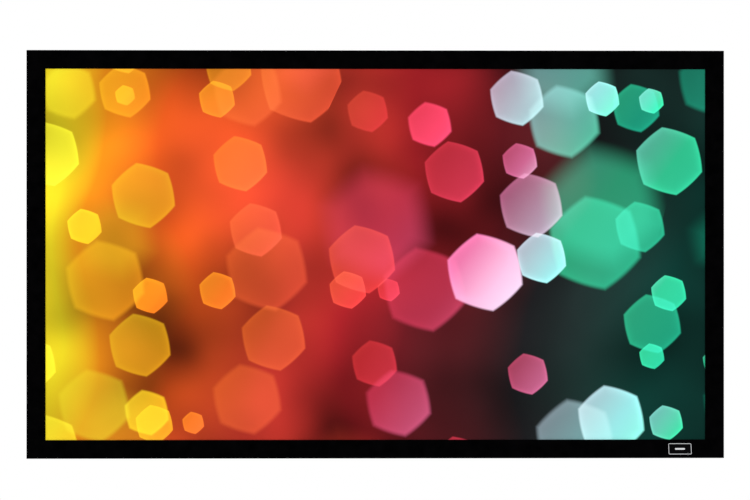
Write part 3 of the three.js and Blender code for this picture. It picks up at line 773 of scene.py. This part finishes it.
# its section: the outer side, and back along the inner one
outer, inner = [
    [(inward + half * math.cos(a), depth + half * math.sin(a)) for inward, depth, a in strip]
    for half in (SHEET_THICKNESS / 2, -SHEET_THICKNESS / 2)
]
section = outer + inner[::-1]
# (side, first, last) of each stretch between two notches
stretches = []
for name, side in SIDES.items():
    end, half = side.half_length - ROD_INWARD - SLEEVE_END_INSET, NOTCH_WIDTH / 2
    firsts = [-end] + [place + half for place in spring_places(name)]
    lasts = [place - half for place in spring_places(name)] + [end]
    stretches += [(side, *ends) for ends in zip(firsts, lasts)]
sleeves = [skin([[side.at(along, *p) for p in section] for along in ends]) for side, *ends in stretches]
for mesh in sleeves:
    for polygon in mesh.polygons:
        polygon.material_index = SHEET_HEM

# %% Put the sheet together
sheet = add_piece(
    "stretched_sheet",
    joined_mesh([flat_mesh, *sleeves]),
    [screen_face, vinyl_black, vinyl_white],
    ["screen_sheet"],
    smooth_below=35,
)
rod_names = [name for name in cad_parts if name.startswith("tension_rod_")]

# %% [markdown]
# ## Weld marks
# The sleeve is closed by a hot bar that leaves a row of small pressed lozenges in the vinyl. More than a
# thousand of them run round the sheet, so a Geometry Nodes tree lays them: it turns lines into curves,
# puts points on them at an even step, and sets one flat cone with six sides on each point.

# %% Geometry Nodes helpers
SOCKETS = {float: "NodeSocketFloat", int: "NodeSocketInt", tuple: "NodeSocketVector"}


def start_geometry(name, inputs):
    """A tree with a geometry input and output, and the inputs {name: value}."""
    tree = bpy.data.node_groups.new(name, "GeometryNodeTree")
    for way in ("INPUT", "OUTPUT"):
        tree.interface.new_socket("Geometry", in_out=way, socket_type="NodeSocketGeometry")
    for label, value in inputs.items():
        kind = SOCKETS.get(type(value), "NodeSocketObject")
        tree.interface.new_socket(label, in_out="INPUT", socket_type=kind)
    return tree, put(tree, "NodeGroupInput").outputs


def side_turn(tree):
    """The turn that each place carries."""
    return feed(tree, "GeometryNodeInputNamedAttribute", {"Name": "turn"}, data_type="FLOAT_VECTOR")


def place_copies(tree, points, shape, turn, material):
    """Ends a tree: a copy of the shape stands at each point, made real and given its material."""
    inputs = {"Points": points, "Instance": shape, "Rotation": turn}
    copies = feed(tree, "GeometryNodeInstanceOnPoints", inputs)
    real = feed(tree, "GeometryNodeRealizeInstances", {0: copies})
    dressed = feed(tree, "GeometryNodeSetMaterial", {"Geometry": real, "Material": material})
    put(tree, "NodeGroupOutput", {0: dressed})


def place_mesh(places):
    """A mesh of loose points, each with the turn of its side. places is [(side, along, inward), ...]."""
    mesh = mesh_from([side.at(along, inward, 0) for side, along, inward in places])
    turns = mesh.attributes.new("turn", "FLOAT_VECTOR", "POINT")
    for value, (side, _, _) in zip(turns.data, places):
        value.vector = (0, side.turn, 0)
    return mesh


def grow(tree, inputs, base_mesh):
    """Runs a tree on a mesh and gives the result as a plain mesh."""
    carrier = add_object(tree.name, base_mesh)
    modifier = carrier.modifiers.new(tree.name, "NODES")
    modifier.node_group = tree
    for item in tree.interface.items_tree:
        if item.in_out == "INPUT" and item.name in inputs:
            modifier[item.identifier] = inputs[item.name]
    return plain_mesh(carrier)


print("geometry helpers are ready")

# %% Weld marks
WELD_INPUTS = {"Step": 0.006, "Mark Radius": 0.0013, "Mark Length": 1.7, "Mark Height": 0.00018}
MARK_TAPER = 0.6
WELD_ROWS = (0.0068, 0.0092)
WELD_MARGIN = 0.002

tree, given = start_geometry("weld_marks", WELD_INPUTS)
lines = feed(tree, "GeometryNodeMeshToCurve", {0: given["Geometry"]})
inputs = {"Curve": lines, "Length": given["Step"]}
points = put(tree, "GeometryNodeCurveToPoints", inputs, mode="LENGTH").outputs
inputs = {"Vertices": 6, "Radius Bottom": given["Mark Radius"], "Depth": given["Mark Height"]}
inputs["Radius Top"] = maths(tree, "MULTIPLY", given["Mark Radius"], MARK_TAPER)
cone = feed(tree, "GeometryNodeMeshCone", inputs, fill_type="NGON")
stretch = feed(tree, "ShaderNodeCombineXYZ", {0: given["Mark Length"], 1: 1.0, 2: 1.0})
mark = feed(tree, "GeometryNodeTransform", {"Geometry": cone, "Scale": stretch})
outward = feed(tree, "FunctionNodeAlignRotationToVector", {"Vector": (0, 1, 0)}, axis="Z")
inputs = {"Rotation": outward, "Vector": points["Tangent"]}
lengthwise = feed(tree, "FunctionNodeAlignRotationToVector", inputs, axis="X", pivot_axis="Z")
place_copies(tree, points[0], mark, lengthwise, vinyl_white)

ends = []
for side, first, last in stretches:
    for row in WELD_ROWS:
        for along in (first + WELD_MARGIN, last - WELD_MARGIN):
            ends.append(side.at(along, ROD_INWARD + row, SHEET_FRONT + 2 * SHEET_THICKNESS))
rows = mesh_from(ends, edges=[(i, i + 1) for i in range(0, len(ends), 2)])
weld_mesh = grow(tree, WELD_INPUTS, rows)
add_piece("weld_marks", weld_mesh, [])
print(f"pressed the weld marks, {len(weld_mesh.polygons)} faces")

# %% [markdown]
# ## Rods
# Six rods of glass fibre lie in the sleeves. A turned shape like this needs only its profile: how far
# along it each ring is, and how wide. The solids have eight sides, so rounder rods take their place.

# %% Rods
ROD_SIDES = 20
ROD_CHAMFER = 0.0006

rods = []
for low, high in [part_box(name) for name in rod_names]:
    middle, half, narrow = (low + high) / 2, max(high - low) / 2, ROD_RADIUS - ROD_CHAMFER
    profile = [(-half, narrow), (ROD_CHAMFER - half, ROD_RADIUS)]
    profile += [(half - ROD_CHAMFER, ROD_RADIUS), (half, narrow)]
    rings = [[(along, *point) for point in circle(0, 0, radius, ROD_SIDES)] for along, radius in profile]
    if high.z - low.z > high.x - low.x:
        rings = [[(-z, y, x) for x, y, z in ring] for ring in rings]
    rods.append(skin([[middle + Vector(point) for point in ring] for ring in rings]))
add_piece("glass_fibre_rods", joined_mesh(rods), [glass_fibre], rod_names)
print(f"turned {len(rods)} rods")

# %% [markdown]
# ## Springs
# Thirty-two close-wound springs pull the rods towards the frame. One spring is a spiral of wire with a round
# hook for the rod and a flat one for the rib of the rail. The tree makes the coil from a spiral curve, takes
# the two hooks from a curve object, gives both the same round wire, and sets a copy at each place. Each
# place carries the turn of its side as an attribute, so one tree serves all four sides.

# %% Hooks of a spring
WIRE_RADIUS = 0.0005
COIL_MEAN_RADIUS = 0.0029
COIL_LENGTH = 0.013
RIB_INWARD = 0.0205
RIB_THICKNESS = 0.0016
RIB_TIP = 0.0166
RIB_HOOK_BEND = 0.0011
RIB_HOOK_END = 0.0032
ROD_HOOK_TURN = (math.radians(112), math.radians(-148))
# the wire's way out of the coil: aside, share of the coil's radius, distance past the coil's end
WAY_TO_ROD = ((0, 1, 0), (-0.0012, 1, 0.0001), (-0.0011, 0.6, 0.0009), (0, 0.55, 0.0018), (0, 0.7, 0.0033))
WAY_TO_RIB = ((0, 1, 0), (0.0012, 1, 0.0001), (0.0011, 0.6, 0.0009), (0, 0.6, 0.0022))

# both hooks in a spring's own frame: X along the side, Y depth, Z inwards
coil_start = (ROD_INWARD + RIB_INWARD + RIB_THICKNESS / 2 - COIL_LENGTH) / 2
wire_reach = WIRE_RADIUS + CLEARANCE
ways = ((WAY_TO_ROD, coil_start + COIL_LENGTH, 1), (WAY_TO_RIB, coil_start, -1))
rod_hook, rib_hook = [
    [(x, ROD_DEPTH + share * COIL_MEAN_RADIUS, start + sign * past) for x, share, past in way]
    for way, start, sign in ways
]
turn = arc(ROD_INWARD, ROD_DEPTH, ROD_RADIUS + wire_reach, *ROD_HOOK_TURN, 16)
rod_hook += [(0, depth, inward) for inward, depth, _ in turn]
over, behind, corner = RIB_TIP + wire_reach, RIB_INWARD - wire_reach, RIB_HOOK_BEND
rib_hook.append((0, over, RIB_INWARD + RIB_THICKNESS + corner))
bend = arc(behind + corner, over - corner, corner, QUARTER, 2 * QUARTER, 5)
rib_hook += [(0, depth, inward) for inward, depth, _ in bend]
rib_hook.append((0, RIB_TIP - RIB_HOOK_END, behind))

hook_data = bpy.data.curves.new("hooks", "CURVE")
hook_data.dimensions = "3D"
hook_data.resolution_u = 2
for points in (rod_hook, rib_hook):
    spline = add_spline(hook_data, "NURBS", points)
    spline.order_u = 3
    spline.use_endpoint_u = True
hooks = add_object("hooks", hook_data)
print(f"drew two hooks with {len(rod_hook)} and {len(rib_hook)} points")

# %% Wind and place the springs
SPRING_INPUTS = {
    "Wire Radius": WIRE_RADIUS,
    "Coil Radius": COIL_MEAN_RADIUS,
    "Coil Length": COIL_LENGTH,
    "Turns": 12.0,
    "Coil Place": (0, ROD_DEPTH, coil_start),
    "Steps per Turn": 16,
    "Sides of Wire": 8,
}

tree, given = start_geometry("tension_springs", SPRING_INPUTS)
inputs = {"Resolution": given["Steps per Turn"], "Rotations": given["Turns"], "Height": given["Coil Length"]}
inputs.update({"Start Radius": given["Coil Radius"], "End Radius": given["Coil Radius"]})
spiral = feed(tree, "GeometryNodeCurveSpiral", inputs)
inputs = {"Geometry": spiral, "Translation": given["Coil Place"], "Rotation": (0, 0, QUARTER)}
coil = feed(tree, "GeometryNodeTransform", inputs)
spring = put(tree, "GeometryNodeJoinGeometry")
for curve in (coil, put(tree, "GeometryNodeObjectInfo", {"Object": hooks}).outputs["Geometry"]):
    tree.links.new(curve, spring.inputs[0])
inputs = {"Resolution": given["Sides of Wire"], "Radius": given["Wire Radius"]}
section = feed(tree, "GeometryNodeCurvePrimitiveCircle", inputs)
inputs = {"Curve": spring.outputs[0], "Profile Curve": section, "Fill Caps": True}
wire = feed(tree, "GeometryNodeCurveToMesh", inputs)
place_copies(tree, given["Geometry"], wire, side_turn(tree), spring_wire)

places = [(side, along, 0) for name, side in SIDES.items() for along in spring_places(name)]
spring_mesh = grow(tree, SPRING_INPUTS, place_mesh(places))
bpy.data.objects.remove(hooks)
solid_springs = [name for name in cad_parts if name.startswith("tension_spring_")]
add_piece("tension_springs", spring_mesh, [], solid_springs, smooth_below=60)
print(f"wound {len(places)} springs, {len(spring_mesh.polygons)} faces")

# %% [markdown]
# ## Plates in the slots
# Flat zinc plated steel joins the rails. An L lies in the slot at each corner, and a straight plate where
# the two halves of a long rail meet. All are punched from strip, so their edges are a little broken.

# %% Joining plates
PLATE_THICKNESS = 0.004
PLATE_EDGE = 0.00035
PLATE_WIDTH = BOX_WIDTH - 2 * (RAIL_WALL + CLEARANCE)
CORNER_LEG = 0.110
SPLICE_LENGTH = 0.190
GRUB_RADIUS = 0.0025
CLIP_SCREW_RADIUS = 0.0017
# (along, inward) of the screws in a corner plate, in a splice plate, and through a clip into that
CORNER_GRUBS = [place for a in (0.036, 0.088) for place in ((a, SLOT_CENTRE), (SLOT_CENTRE, a))]
SPLICE_GRUBS = [(a, SLOT_CENTRE) for a in (-0.080, -0.046, 0.046, 0.080)]
CLIP_SCREWS = [(a, SLOT_CENTRE) for a in (-0.018, 0.018)]

plate_low, plate_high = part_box("corner_plate_bottom_left")
PLATE_MIDDLE = (plate_low.y + plate_high.y) / 2 - FRONT


def plate_on(side, mesh, start, middle):
    """Lays a flat mesh on a side: its X along the side from start, its Y inwards, its Z to the front."""
    return carry(mesh, lambda x, y, z: side.at(start + x, y, middle - z))


def lay_plate(side, start, label, outline, grubs, clip_screws=()):
    """Cuts a plate with its holes, and lays it in the slot in place of its solid."""
    holes = [circle(*place, GRUB_RADIUS) for place in grubs]
    holes += [circle(*place, CLIP_SCREW_RADIUS) for place in clip_screws]
    blank = flat_stock(outline, holes, PLATE_THICKNESS, PLATE_EDGE)
    mesh = plate_on(side, blank, start, PLATE_MIDDLE)
    add_piece(f"zinc_{label}", mesh, [zinc], [label])


leg, half = CORNER_LEG, SPLICE_LENGTH / 2
near, far = SLOT_CENTRE - PLATE_WIDTH / 2, SLOT_CENTRE + PLATE_WIDTH / 2
corner_outline = [(near, near), (leg, near), (leg, far), (far, far), (far, leg), (near, leg)]
splice_outline = [(-half, near), (half, near), (half, far), (-half, far)]
for name, side in SIDES.items():
    label = f"corner_plate_{FIRST_CORNER[name]}"
    lay_plate(side, -side.half_length, label, corner_outline, CORNER_GRUBS)
    if name in HALVES:
        lay_plate(side, 0, f"splice_plate_{name}", splice_outline, SPLICE_GRUBS, CLIP_SCREWS)
print("laid four corner plates and two splice plates")

# %% [markdown]
# ## Centre bar and clips
# A square tube stands behind the middle of the sheet, so the long rails can't bow in under the pull of the
# springs. It is drawn aluminium with rounded corners, so its section is one curve inside another. A black
# clip at each end is screwed to the rail and to the bar. Its holes are cones for the heads of the screws,
# because only a third of a millimetre is left between a clip and the wall.

# %% Bar and clips
BAR_WALL = 0.0015
BAR_RADIUS = 0.002
CLIP_WIDTH = 0.052
CLIP_REACH = 0.058
CLIP_RADIUS = 0.005
CLIP_HEAD_RADIUS = 0.003
CLIP_BAR_SCREW = 0.042
CLIP_CENTRES = [*CLIP_SCREWS, (0, CLIP_BAR_SCREW)]
STEEL_EDGE = 0.0002


def countersink(mesh, thickness):
    """Draws the front of each wide hole in to the width of the screw, so that the hole is a cone."""
    for vertex in mesh.vertices:
        x, y, z = vertex.co
        for cx, cy in CLIP_CENTRES:
            reach = math.hypot(x - cx, y - cy)
            if reach < CLIP_HEAD_RADIUS + 2 * STEEL_EDGE:
                share = 0.5 + z / thickness
                narrow = 1 - (CLIP_HEAD_RADIUS - CLIP_SCREW_RADIUS) * share / reach
                vertex.co = (cx + (x - cx) * narrow, cy + (y - cy) * narrow, z)


bar_low, bar_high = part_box("support_bar")
outline = rounded_rectangle(bar_low, bar_high, BAR_RADIUS)
bore = rounded_rectangle(bar_low, bar_high, BAR_RADIUS - BAR_WALL / 2, inset=BAR_WALL)
bar_mesh = flat_stock(outline, [bore], bar_high.z - bar_low.z, STEEL_EDGE)
add_piece("centre_bar", bar_mesh, [brushed_aluminium], ["support_bar"], smooth_below=40)

outline = rounded_rectangle((-CLIP_WIDTH / 2, RAIL_WALL), (CLIP_WIDTH / 2, CLIP_REACH), CLIP_RADIUS)
for name in HALVES:
    label = f"bar_clip_{name}"
    low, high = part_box(label)
    thickness = high.y - low.y
    blank = flat_stock(outline, [circle(*c, CLIP_HEAD_RADIUS) for c in CLIP_CENTRES], thickness, STEEL_EDGE)
    countersink(blank, thickness)
    mesh = plate_on(SIDES[name], blank, 0, (low.y + high.y) / 2 - FRONT)
    add_piece(f"black_{label}", mesh, [powder_coat], [label])
print("made the centre bar and its clips")

# %% [markdown]
# ## Wall brackets
# A bracket is a flat blank that a press folds twice, so it is made here the same way. The blank is cut
# across at small steps where it will bend. Then every point is carried onto the folded line: how far along
# the blank it was says where on the line it goes, and its height says how far to either side of the line.

# %% Fold line of a bracket
BRACKET_WIDTH = 0.090
BRACKET_REACH = 0.064
BRACKET_THICKNESS = 0.002
BRACKET_RADIUS = 0.008
BRACKET_PLACE = 0.664
BRACKET_SCREWS = (-0.027, 0.027)
BRACKET_SCREW_INWARD = 0.046
BRACKET_SLOT_RADIUS = 0.0026
BRACKET_SLOT_TRAVEL = 0.010
BEND_RADIUS = 0.0004 + BRACKET_THICKNESS / 2
BEND_STEPS = 5


def fold_line(name):
    """Corners (inward, depth) of the line through the middle of a bracket, from its free end to its hook."""
    half, tip = BRACKET_THICKNESS / 2, RAIL_WALL + CLEARANCE
    riser = tip + SLOT_LIP + half
    plate, hook = cad_high.y - FRONT - half, FRAME_DEPTH - tip - half
    if name == "bottom":
        riser, tip = BOX_WIDTH - riser, BOX_WIDTH - tip
    return [(BRACKET_REACH, plate), (riser, plate), (riser, hook), (tip, hook)]


def rounded_line(corners):
    """The line with its right angles rounded, as [(length along it, point, normal), ...]."""
    corners = [Vector(c) for c in corners]
    ways = [(b - a).normalized() for a, b in zip(corners, corners[1:])]
    line = [(corners[0], ways[0])]
    for corner, arriving, leaving in zip(corners[1:], ways, ways[1:]):
        centre = corner + (leaving - arriving) * BEND_RADIUS
        for t in [QUARTER * i / BEND_STEPS for i in range(BEND_STEPS + 1)]:
            place = centre + (arriving * math.sin(t) - leaving * math.cos(t)) * BEND_RADIUS
            line.append((place, arriving * math.cos(t) + leaving * math.sin(t)))
    line.append((corners[-1], ways[-1]))
    length = 0
    result = []
    for (before, _), (point, ahead) in zip(line[:1] + line, line):
        length += (point - before).length
        result.append((length, point, Vector((-ahead.y, ahead.x))))
    return result


print(f"a bracket bends round an inner radius of {1000 * BEND_RADIUS - 500 * BRACKET_THICKNESS:.1f} mm")


# %% Fold the brackets
def bracket_blank(length):
    """The flat blank: round corners at its free end, square ones at its hook, and two slots."""
    half, travel = BRACKET_WIDTH / 2, BRACKET_SLOT_TRAVEL / 2
    round_all = rounded_rectangle((0, -half), (length, half), BRACKET_RADIUS)
    corner = len(round_all) // 4
    outline = [*round_all[:corner], (length, -half), (length, half), *round_all[-corner:]]
    reach = Vector((BRACKET_SLOT_RADIUS, BRACKET_SLOT_RADIUS + travel))
    slots = []
    for aside in BRACKET_SCREWS:
        middle = Vector((BRACKET_REACH - BRACKET_SCREW_INWARD, aside))
        slots.append(rounded_rectangle(middle - reach, middle + reach, BRACKET_SLOT_RADIUS, steps=4))
    return flat_stock(outline, slots, BRACKET_THICKNESS, STEEL_EDGE)


def folded_bracket(name, place):
    line = rounded_line(fold_line(name))
    mesh = bracket_blank(line[-1][0])
    cage = bmesh.new()
    cage.from_mesh(mesh)
    for length, _, _ in line[1:-1]:
        parts = cage.verts[:] + cage.edges[:] + cage.faces[:]
        bmesh.ops.bisect_plane(cage, geom=parts, dist=1e-7, plane_co=(length, 0, 0), plane_no=(1, 0, 0))
    cage.to_mesh(mesh)
    cage.free()

    def fold(x, y, z):
        for (first, start, n0), (last, end, n1) in zip(line, line[1:]):
            if x <= last + 1e-9:
                share = (x - first) / (last - first)
                point = start.lerp(end, share) + n0.lerp(n1, share).normalized() * z
                return SIDES[name].at(place + y, point.x, point.y)
        # rounding leaves the end of the blank a hair past the line, and the upper hooks end crossed there
        return SIDES[name].at(place + y, line[-1][1].x, line[-1][1].y + z)

    return carry(mesh, fold)


for name, halves in HALVES.items():
    for half, sign in zip(halves, (-1, 1)):
        label = f"wall_bracket_{name}_{half}"
        mesh = folded_bracket(name, sign * BRACKET_PLACE)
        add_piece(f"folded_{label}", mesh, [powder_coat], [label])
print("folded four wall brackets")

# %% [markdown]
# ## Screws
# Grub screws jam the plates in the slots, and small flush screws hold the clips. A screw is a stack of
# rings. The trick is that the rings of its socket aren't round: their radius changes with the angle, by a
# formula for a hexagon or a cross. One mesh of each kind goes to all its places by Geometry Nodes, and a
# seeded random number turns each one about its axis, because no two screws stop at the same angle.

# %% Shape of a screw
SLOT_FLOOR = FRAME_DEPTH - RAIL_WALL - SLOT_DEPTH
GRUB_INSET = 0.0006
GRUB_END = PLATE_MIDDLE + PLATE_THICKNESS / 2 - GRUB_INSET
CLIP_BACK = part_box("bar_clip_top")[1].y - FRONT
CLIP_THICKNESS = 0.0017
SCREW_LENGTH = 0.007
SHANK_RADIUS = 0.00145
HEAD_RADIUS = CLIP_HEAD_RADIUS - 0.0001


def hexagon(across_flats):
    return lambda t: across_flats / 2 / math.cos((t % (math.pi / 3)) - math.pi / 6)


def cross(half_width, half_length):
    def radius(t):
        c, s = max(abs(math.cos(t)), 1e-6), max(abs(math.sin(t)), 1e-6)
        return max(min(half_length / c, half_width / s), min(half_length / s, half_width / c))

    return radius


# (depth, radius) of each ring, from the front end to the floor of the socket
key_socket = hexagon(0.0025)
GRUB_PROFILE = (
    (SLOT_FLOOR + 0.0001, 0.0014),
    (SLOT_FLOOR + 0.0008, 0.0023),
    (GRUB_END - 0.0004, 0.0023),
    (GRUB_END, 0.0019),
    (GRUB_END, key_socket),
    (GRUB_END - 0.0018, key_socket),
    (GRUB_END - 0.0023, 0.0001),
)
FLUSH_PROFILE = (
    (CLIP_BACK - SCREW_LENGTH, 0.0006),
    (CLIP_BACK - SCREW_LENGTH + 0.0008, SHANK_RADIUS),
    (CLIP_BACK - CLIP_THICKNESS, SHANK_RADIUS),
    (CLIP_BACK - 0.0003, HEAD_RADIUS),
    (CLIP_BACK - 0.0001, HEAD_RADIUS),
    (CLIP_BACK - 0.00005, HEAD_RADIUS - 0.00015),
    (CLIP_BACK, cross(0.00036, 0.0016)),
    (CLIP_BACK - 0.0010, cross(0.00028, 0.0007)),
    (CLIP_BACK - 0.0014, 0.0001),
)
print(f"a grub screw has {len(GRUB_PROFILE)} rings and a flush screw {len(FLUSH_PROFILE)}")

# %% Drive the screws
SCREW_SEED = 7


def drive(name, profile, sides, places, material):
    """Sets a screw at every place, (side, along, inward), and makes them one piece."""
    rings = [[(x, depth, z) for x, z in circle(0, 0, radius, sides)] for depth, radius in profile]
    pattern = add_object("pattern", skin(rings))
    inputs = {"Screw": pattern, "Most Turn": 2 * math.pi, "Seed": SCREW_SEED}
    tree, given = start_geometry(name, inputs)
    shape = put(tree, "GeometryNodeObjectInfo", {"Object": given["Screw"]}).outputs["Geometry"]
    chance = {3: given["Most Turn"], "Seed": given["Seed"]}
    angle = put(tree, "FunctionNodeRandomValue", chance, data_type="FLOAT").outputs[1]
    own_turn = feed(tree, "ShaderNodeCombineXYZ", {1: angle})
    turn = feed(tree, "ShaderNodeVectorMath", {0: side_turn(tree), 1: own_turn})
    place_copies(tree, given["Geometry"], shape, turn, material)
    add_piece(name, grow(tree, inputs, place_mesh(places)), [])
    bpy.data.objects.remove(pattern)
    print(f"drove {len(places)} {name}")


grub_places = []
for name, side in SIDES.items():
    grub_places += [(side, along - side.half_length, inward) for along, inward in CORNER_GRUBS]
    if name in HALVES:
        grub_places += [(side, *place) for place in SPLICE_GRUBS]
drive("grub_screws", GRUB_PROFILE, 24, grub_places, spring_wire)
flush_places = [(SIDES[name], *place) for name in HALVES for place in CLIP_CENTRES]
drive("flush_screws", FLUSH_PROFILE, 32, flush_places, zinc)

# %% [markdown]
# ## The badge
# A small plate sits on the lower rail near its right end: a rounded silver rim round a black field. The
# field is left bare but for a plain raised bar. The rim is a ring of flat stock with a generous bevel, which
# catches the light along its edge.

# %% Finishes of the badge
metal = Finish("badge_metal", Metallic=1.0)
satin = metal.grain(1100, 3, ALONG_X)
colour = metal.blend(satin, (0.66, 0.67, 0.69), (0.82, 0.83, 0.84))
badge_metal = metal.dress(colour, (satin, 0.22, 0.36), (satin, 0.00002, 0.4))

plastic = Finish("badge_field", Specular_IOR_Level=0.015)
grain = plastic.grain(2200)
colour = plastic.blend(grain, (0.0010, 0.0010, 0.0011), (0.0024, 0.0024, 0.0026))
badge_field = plastic.dress(colour, (grain, 0.5, 0.7), (grain, 0.00005, 0.6))
print("made the badge's finishes")

# %% Badge
BADGE_WIDTH = 0.077
BADGE_HEIGHT = 0.036
BADGE_THICKNESS = 0.0009
BADGE_RIM = 0.0018
BADGE_RISE = 0.0006
BADGE_RADIUS = 0.0035
BADGE_FROM_EDGE = 0.147
BADGE_INWARD = 0.030
MARK_WIDTH = 0.034
MARK_HEIGHT = 0.0055
MARK_RADIUS = 0.49 * MARK_HEIGHT
MARK_RISE = 0.0003
BADGE_METAL, BADGE_FIELD = range(2)


def centred(width, height, radius, inset=0):
    return rounded_rectangle((-width / 2, -height / 2), (width / 2, height / 2), radius - inset, inset)


def on_bevel(mesh, lift, finish):
    """Lays a flat mesh on the face of the lower rail, lift above it, and gives it one of the finishes."""
    side = SIDES["bottom"]
    face = (BADGE_INWARD - BEVEL_START) * math.tan(BEVEL_ANGLE)
    sine, cosine = math.sin(BEVEL_ANGLE), math.cos(BEVEL_ANGLE)

    def move(x, y, z):
        out = z + lift
        inward, depth = BADGE_INWARD + y * cosine + out * sine, face + y * sine - out * cosine
        return side.at(side.half_length - BADGE_FROM_EDGE + x, inward, depth)

    for polygon in mesh.polygons:
        polygon.material_index = finish
    return carry(mesh, move)


size = (BADGE_WIDTH, BADGE_HEIGHT, BADGE_RADIUS)
field = flat_stock(centred(*size, BADGE_RIM / 2), [], BADGE_THICKNESS, edge=0.0001)
rim_height = BADGE_THICKNESS + BADGE_RISE
rim = flat_stock(centred(*size), [centred(*size, BADGE_RIM)], rim_height, edge=0.0005, edge_steps=3)
mark_outline = centred(MARK_WIDTH, MARK_HEIGHT, MARK_RADIUS)
mark = flat_stock(mark_outline, [], 2 * MARK_RISE, edge=0.00025, edge_steps=3)
parts = [
    on_bevel(field, CLEARANCE + BADGE_THICKNESS / 2, BADGE_FIELD),
    on_bevel(rim, CLEARANCE + rim_height / 2, BADGE_METAL),
    on_bevel(mark, CLEARANCE + BADGE_THICKNESS, BADGE_METAL),
]
badge_mesh = joined_mesh(parts)
add_piece("badge", badge_mesh, [badge_metal, badge_field], ["badge_plate"], smooth_below=50)
print(f"made the badge, {len(badge_mesh.polygons)} faces")

# %% [markdown]
# ## Light, floor and background
# The photograph has no shadow and a pure white ground. A white world that only the camera, mirrors and
# glass see gives that, while a plain grey world and soft lamps light the screen at a level where a colour
# shows about as it is written. The lamps stand off to the sides, so the matt face has no hot spot.

# %% World
WORLD_LEVEL = 0.62

world = bpy.data.worlds.new("studio")
scene.world = world
world.use_nodes = True
tree = world.node_tree
tree.nodes.clear()
rays = put(tree, "ShaderNodeLightPath").outputs
seen = maths(tree, "MAXIMUM", rays["Is Camera Ray"], rays["Is Glossy Ray"])
seen = maths(tree, "MAXIMUM", seen, rays["Is Transmission Ray"])
soft, white = [
    feed(tree, "ShaderNodeBackground", {"Color": (1, 1, 1, 1), "Strength": level})
    for level in (WORLD_LEVEL, 1.0)
]
mixed = feed(tree, "ShaderNodeMixShader", {0: seen, 1: soft, 2: white})
put(tree, "ShaderNodeOutputWorld", {"Surface": mixed})
print(f"the world lights the screen at {WORLD_LEVEL}")

# %% Lamps and floor
LAMP_SIZE = 2.4
# place, watts
LAMPS = {
    "front_left": ((-3.4, -4.2, 1.6), 95),
    "front_right": ((3.4, -4.2, 1.6), 95),
    "back_left": ((-3.0, 4.2, 2.0), 80),
    "back_right": ((3.0, 4.2, 2.0), 80),
}
FLOOR_LEVEL = -1.35
FLOOR_HALF_WIDTH = 4.5
FLOOR_FRONT = -4.5
FLOOR_BACK = 2.3

for name, (place, watts) in LAMPS.items():
    lamp_data = bpy.data.lights.new(name, "AREA")
    lamp_data.energy = watts
    lamp_data.size = LAMP_SIZE
    lamp = add_object(name, lamp_data)
    lamp.location = place
    lamp.rotation_euler = (-Vector(place)).to_track_quat("-Z", "Y").to_euler()
    lamp.visible_glossy = False

paint = Finish("pale_floor", Roughness=0.9, Specular_IOR_Level=0.1)
left, right = -FLOOR_HALF_WIDTH, FLOOR_HALF_WIDTH
corners = ((left, FLOOR_FRONT), (right, FLOOR_FRONT), (right, FLOOR_BACK), (left, FLOOR_BACK))
floor_mesh = mesh_from([(x, y, FLOOR_LEVEL) for x, y in corners], [(0, 1, 2, 3)])
floor_mesh.materials.append(paint.dress(paint.blend(paint.grain(2, 3), (0.86, 0.86, 0.86), (0.9, 0.9, 0.9))))
add_object("floor", floor_mesh)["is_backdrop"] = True
print(f"set {len(LAMPS)} lamps and a floor")

# %% [markdown]
# ## Sizes and the end
# The dressed screen must stay in the box of the construction. Both boxes are gathered in a small table, and
# the size of the dressed one is printed.

# %% Finish
visual_low, visual_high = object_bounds()
sizes = {"cad": [list(cad_low), list(cad_high)], "visual": [list(visual_low), list(visual_high)]}
print("box of the dressed screen:", [round(v, 4) for v in visual_high - visual_low])
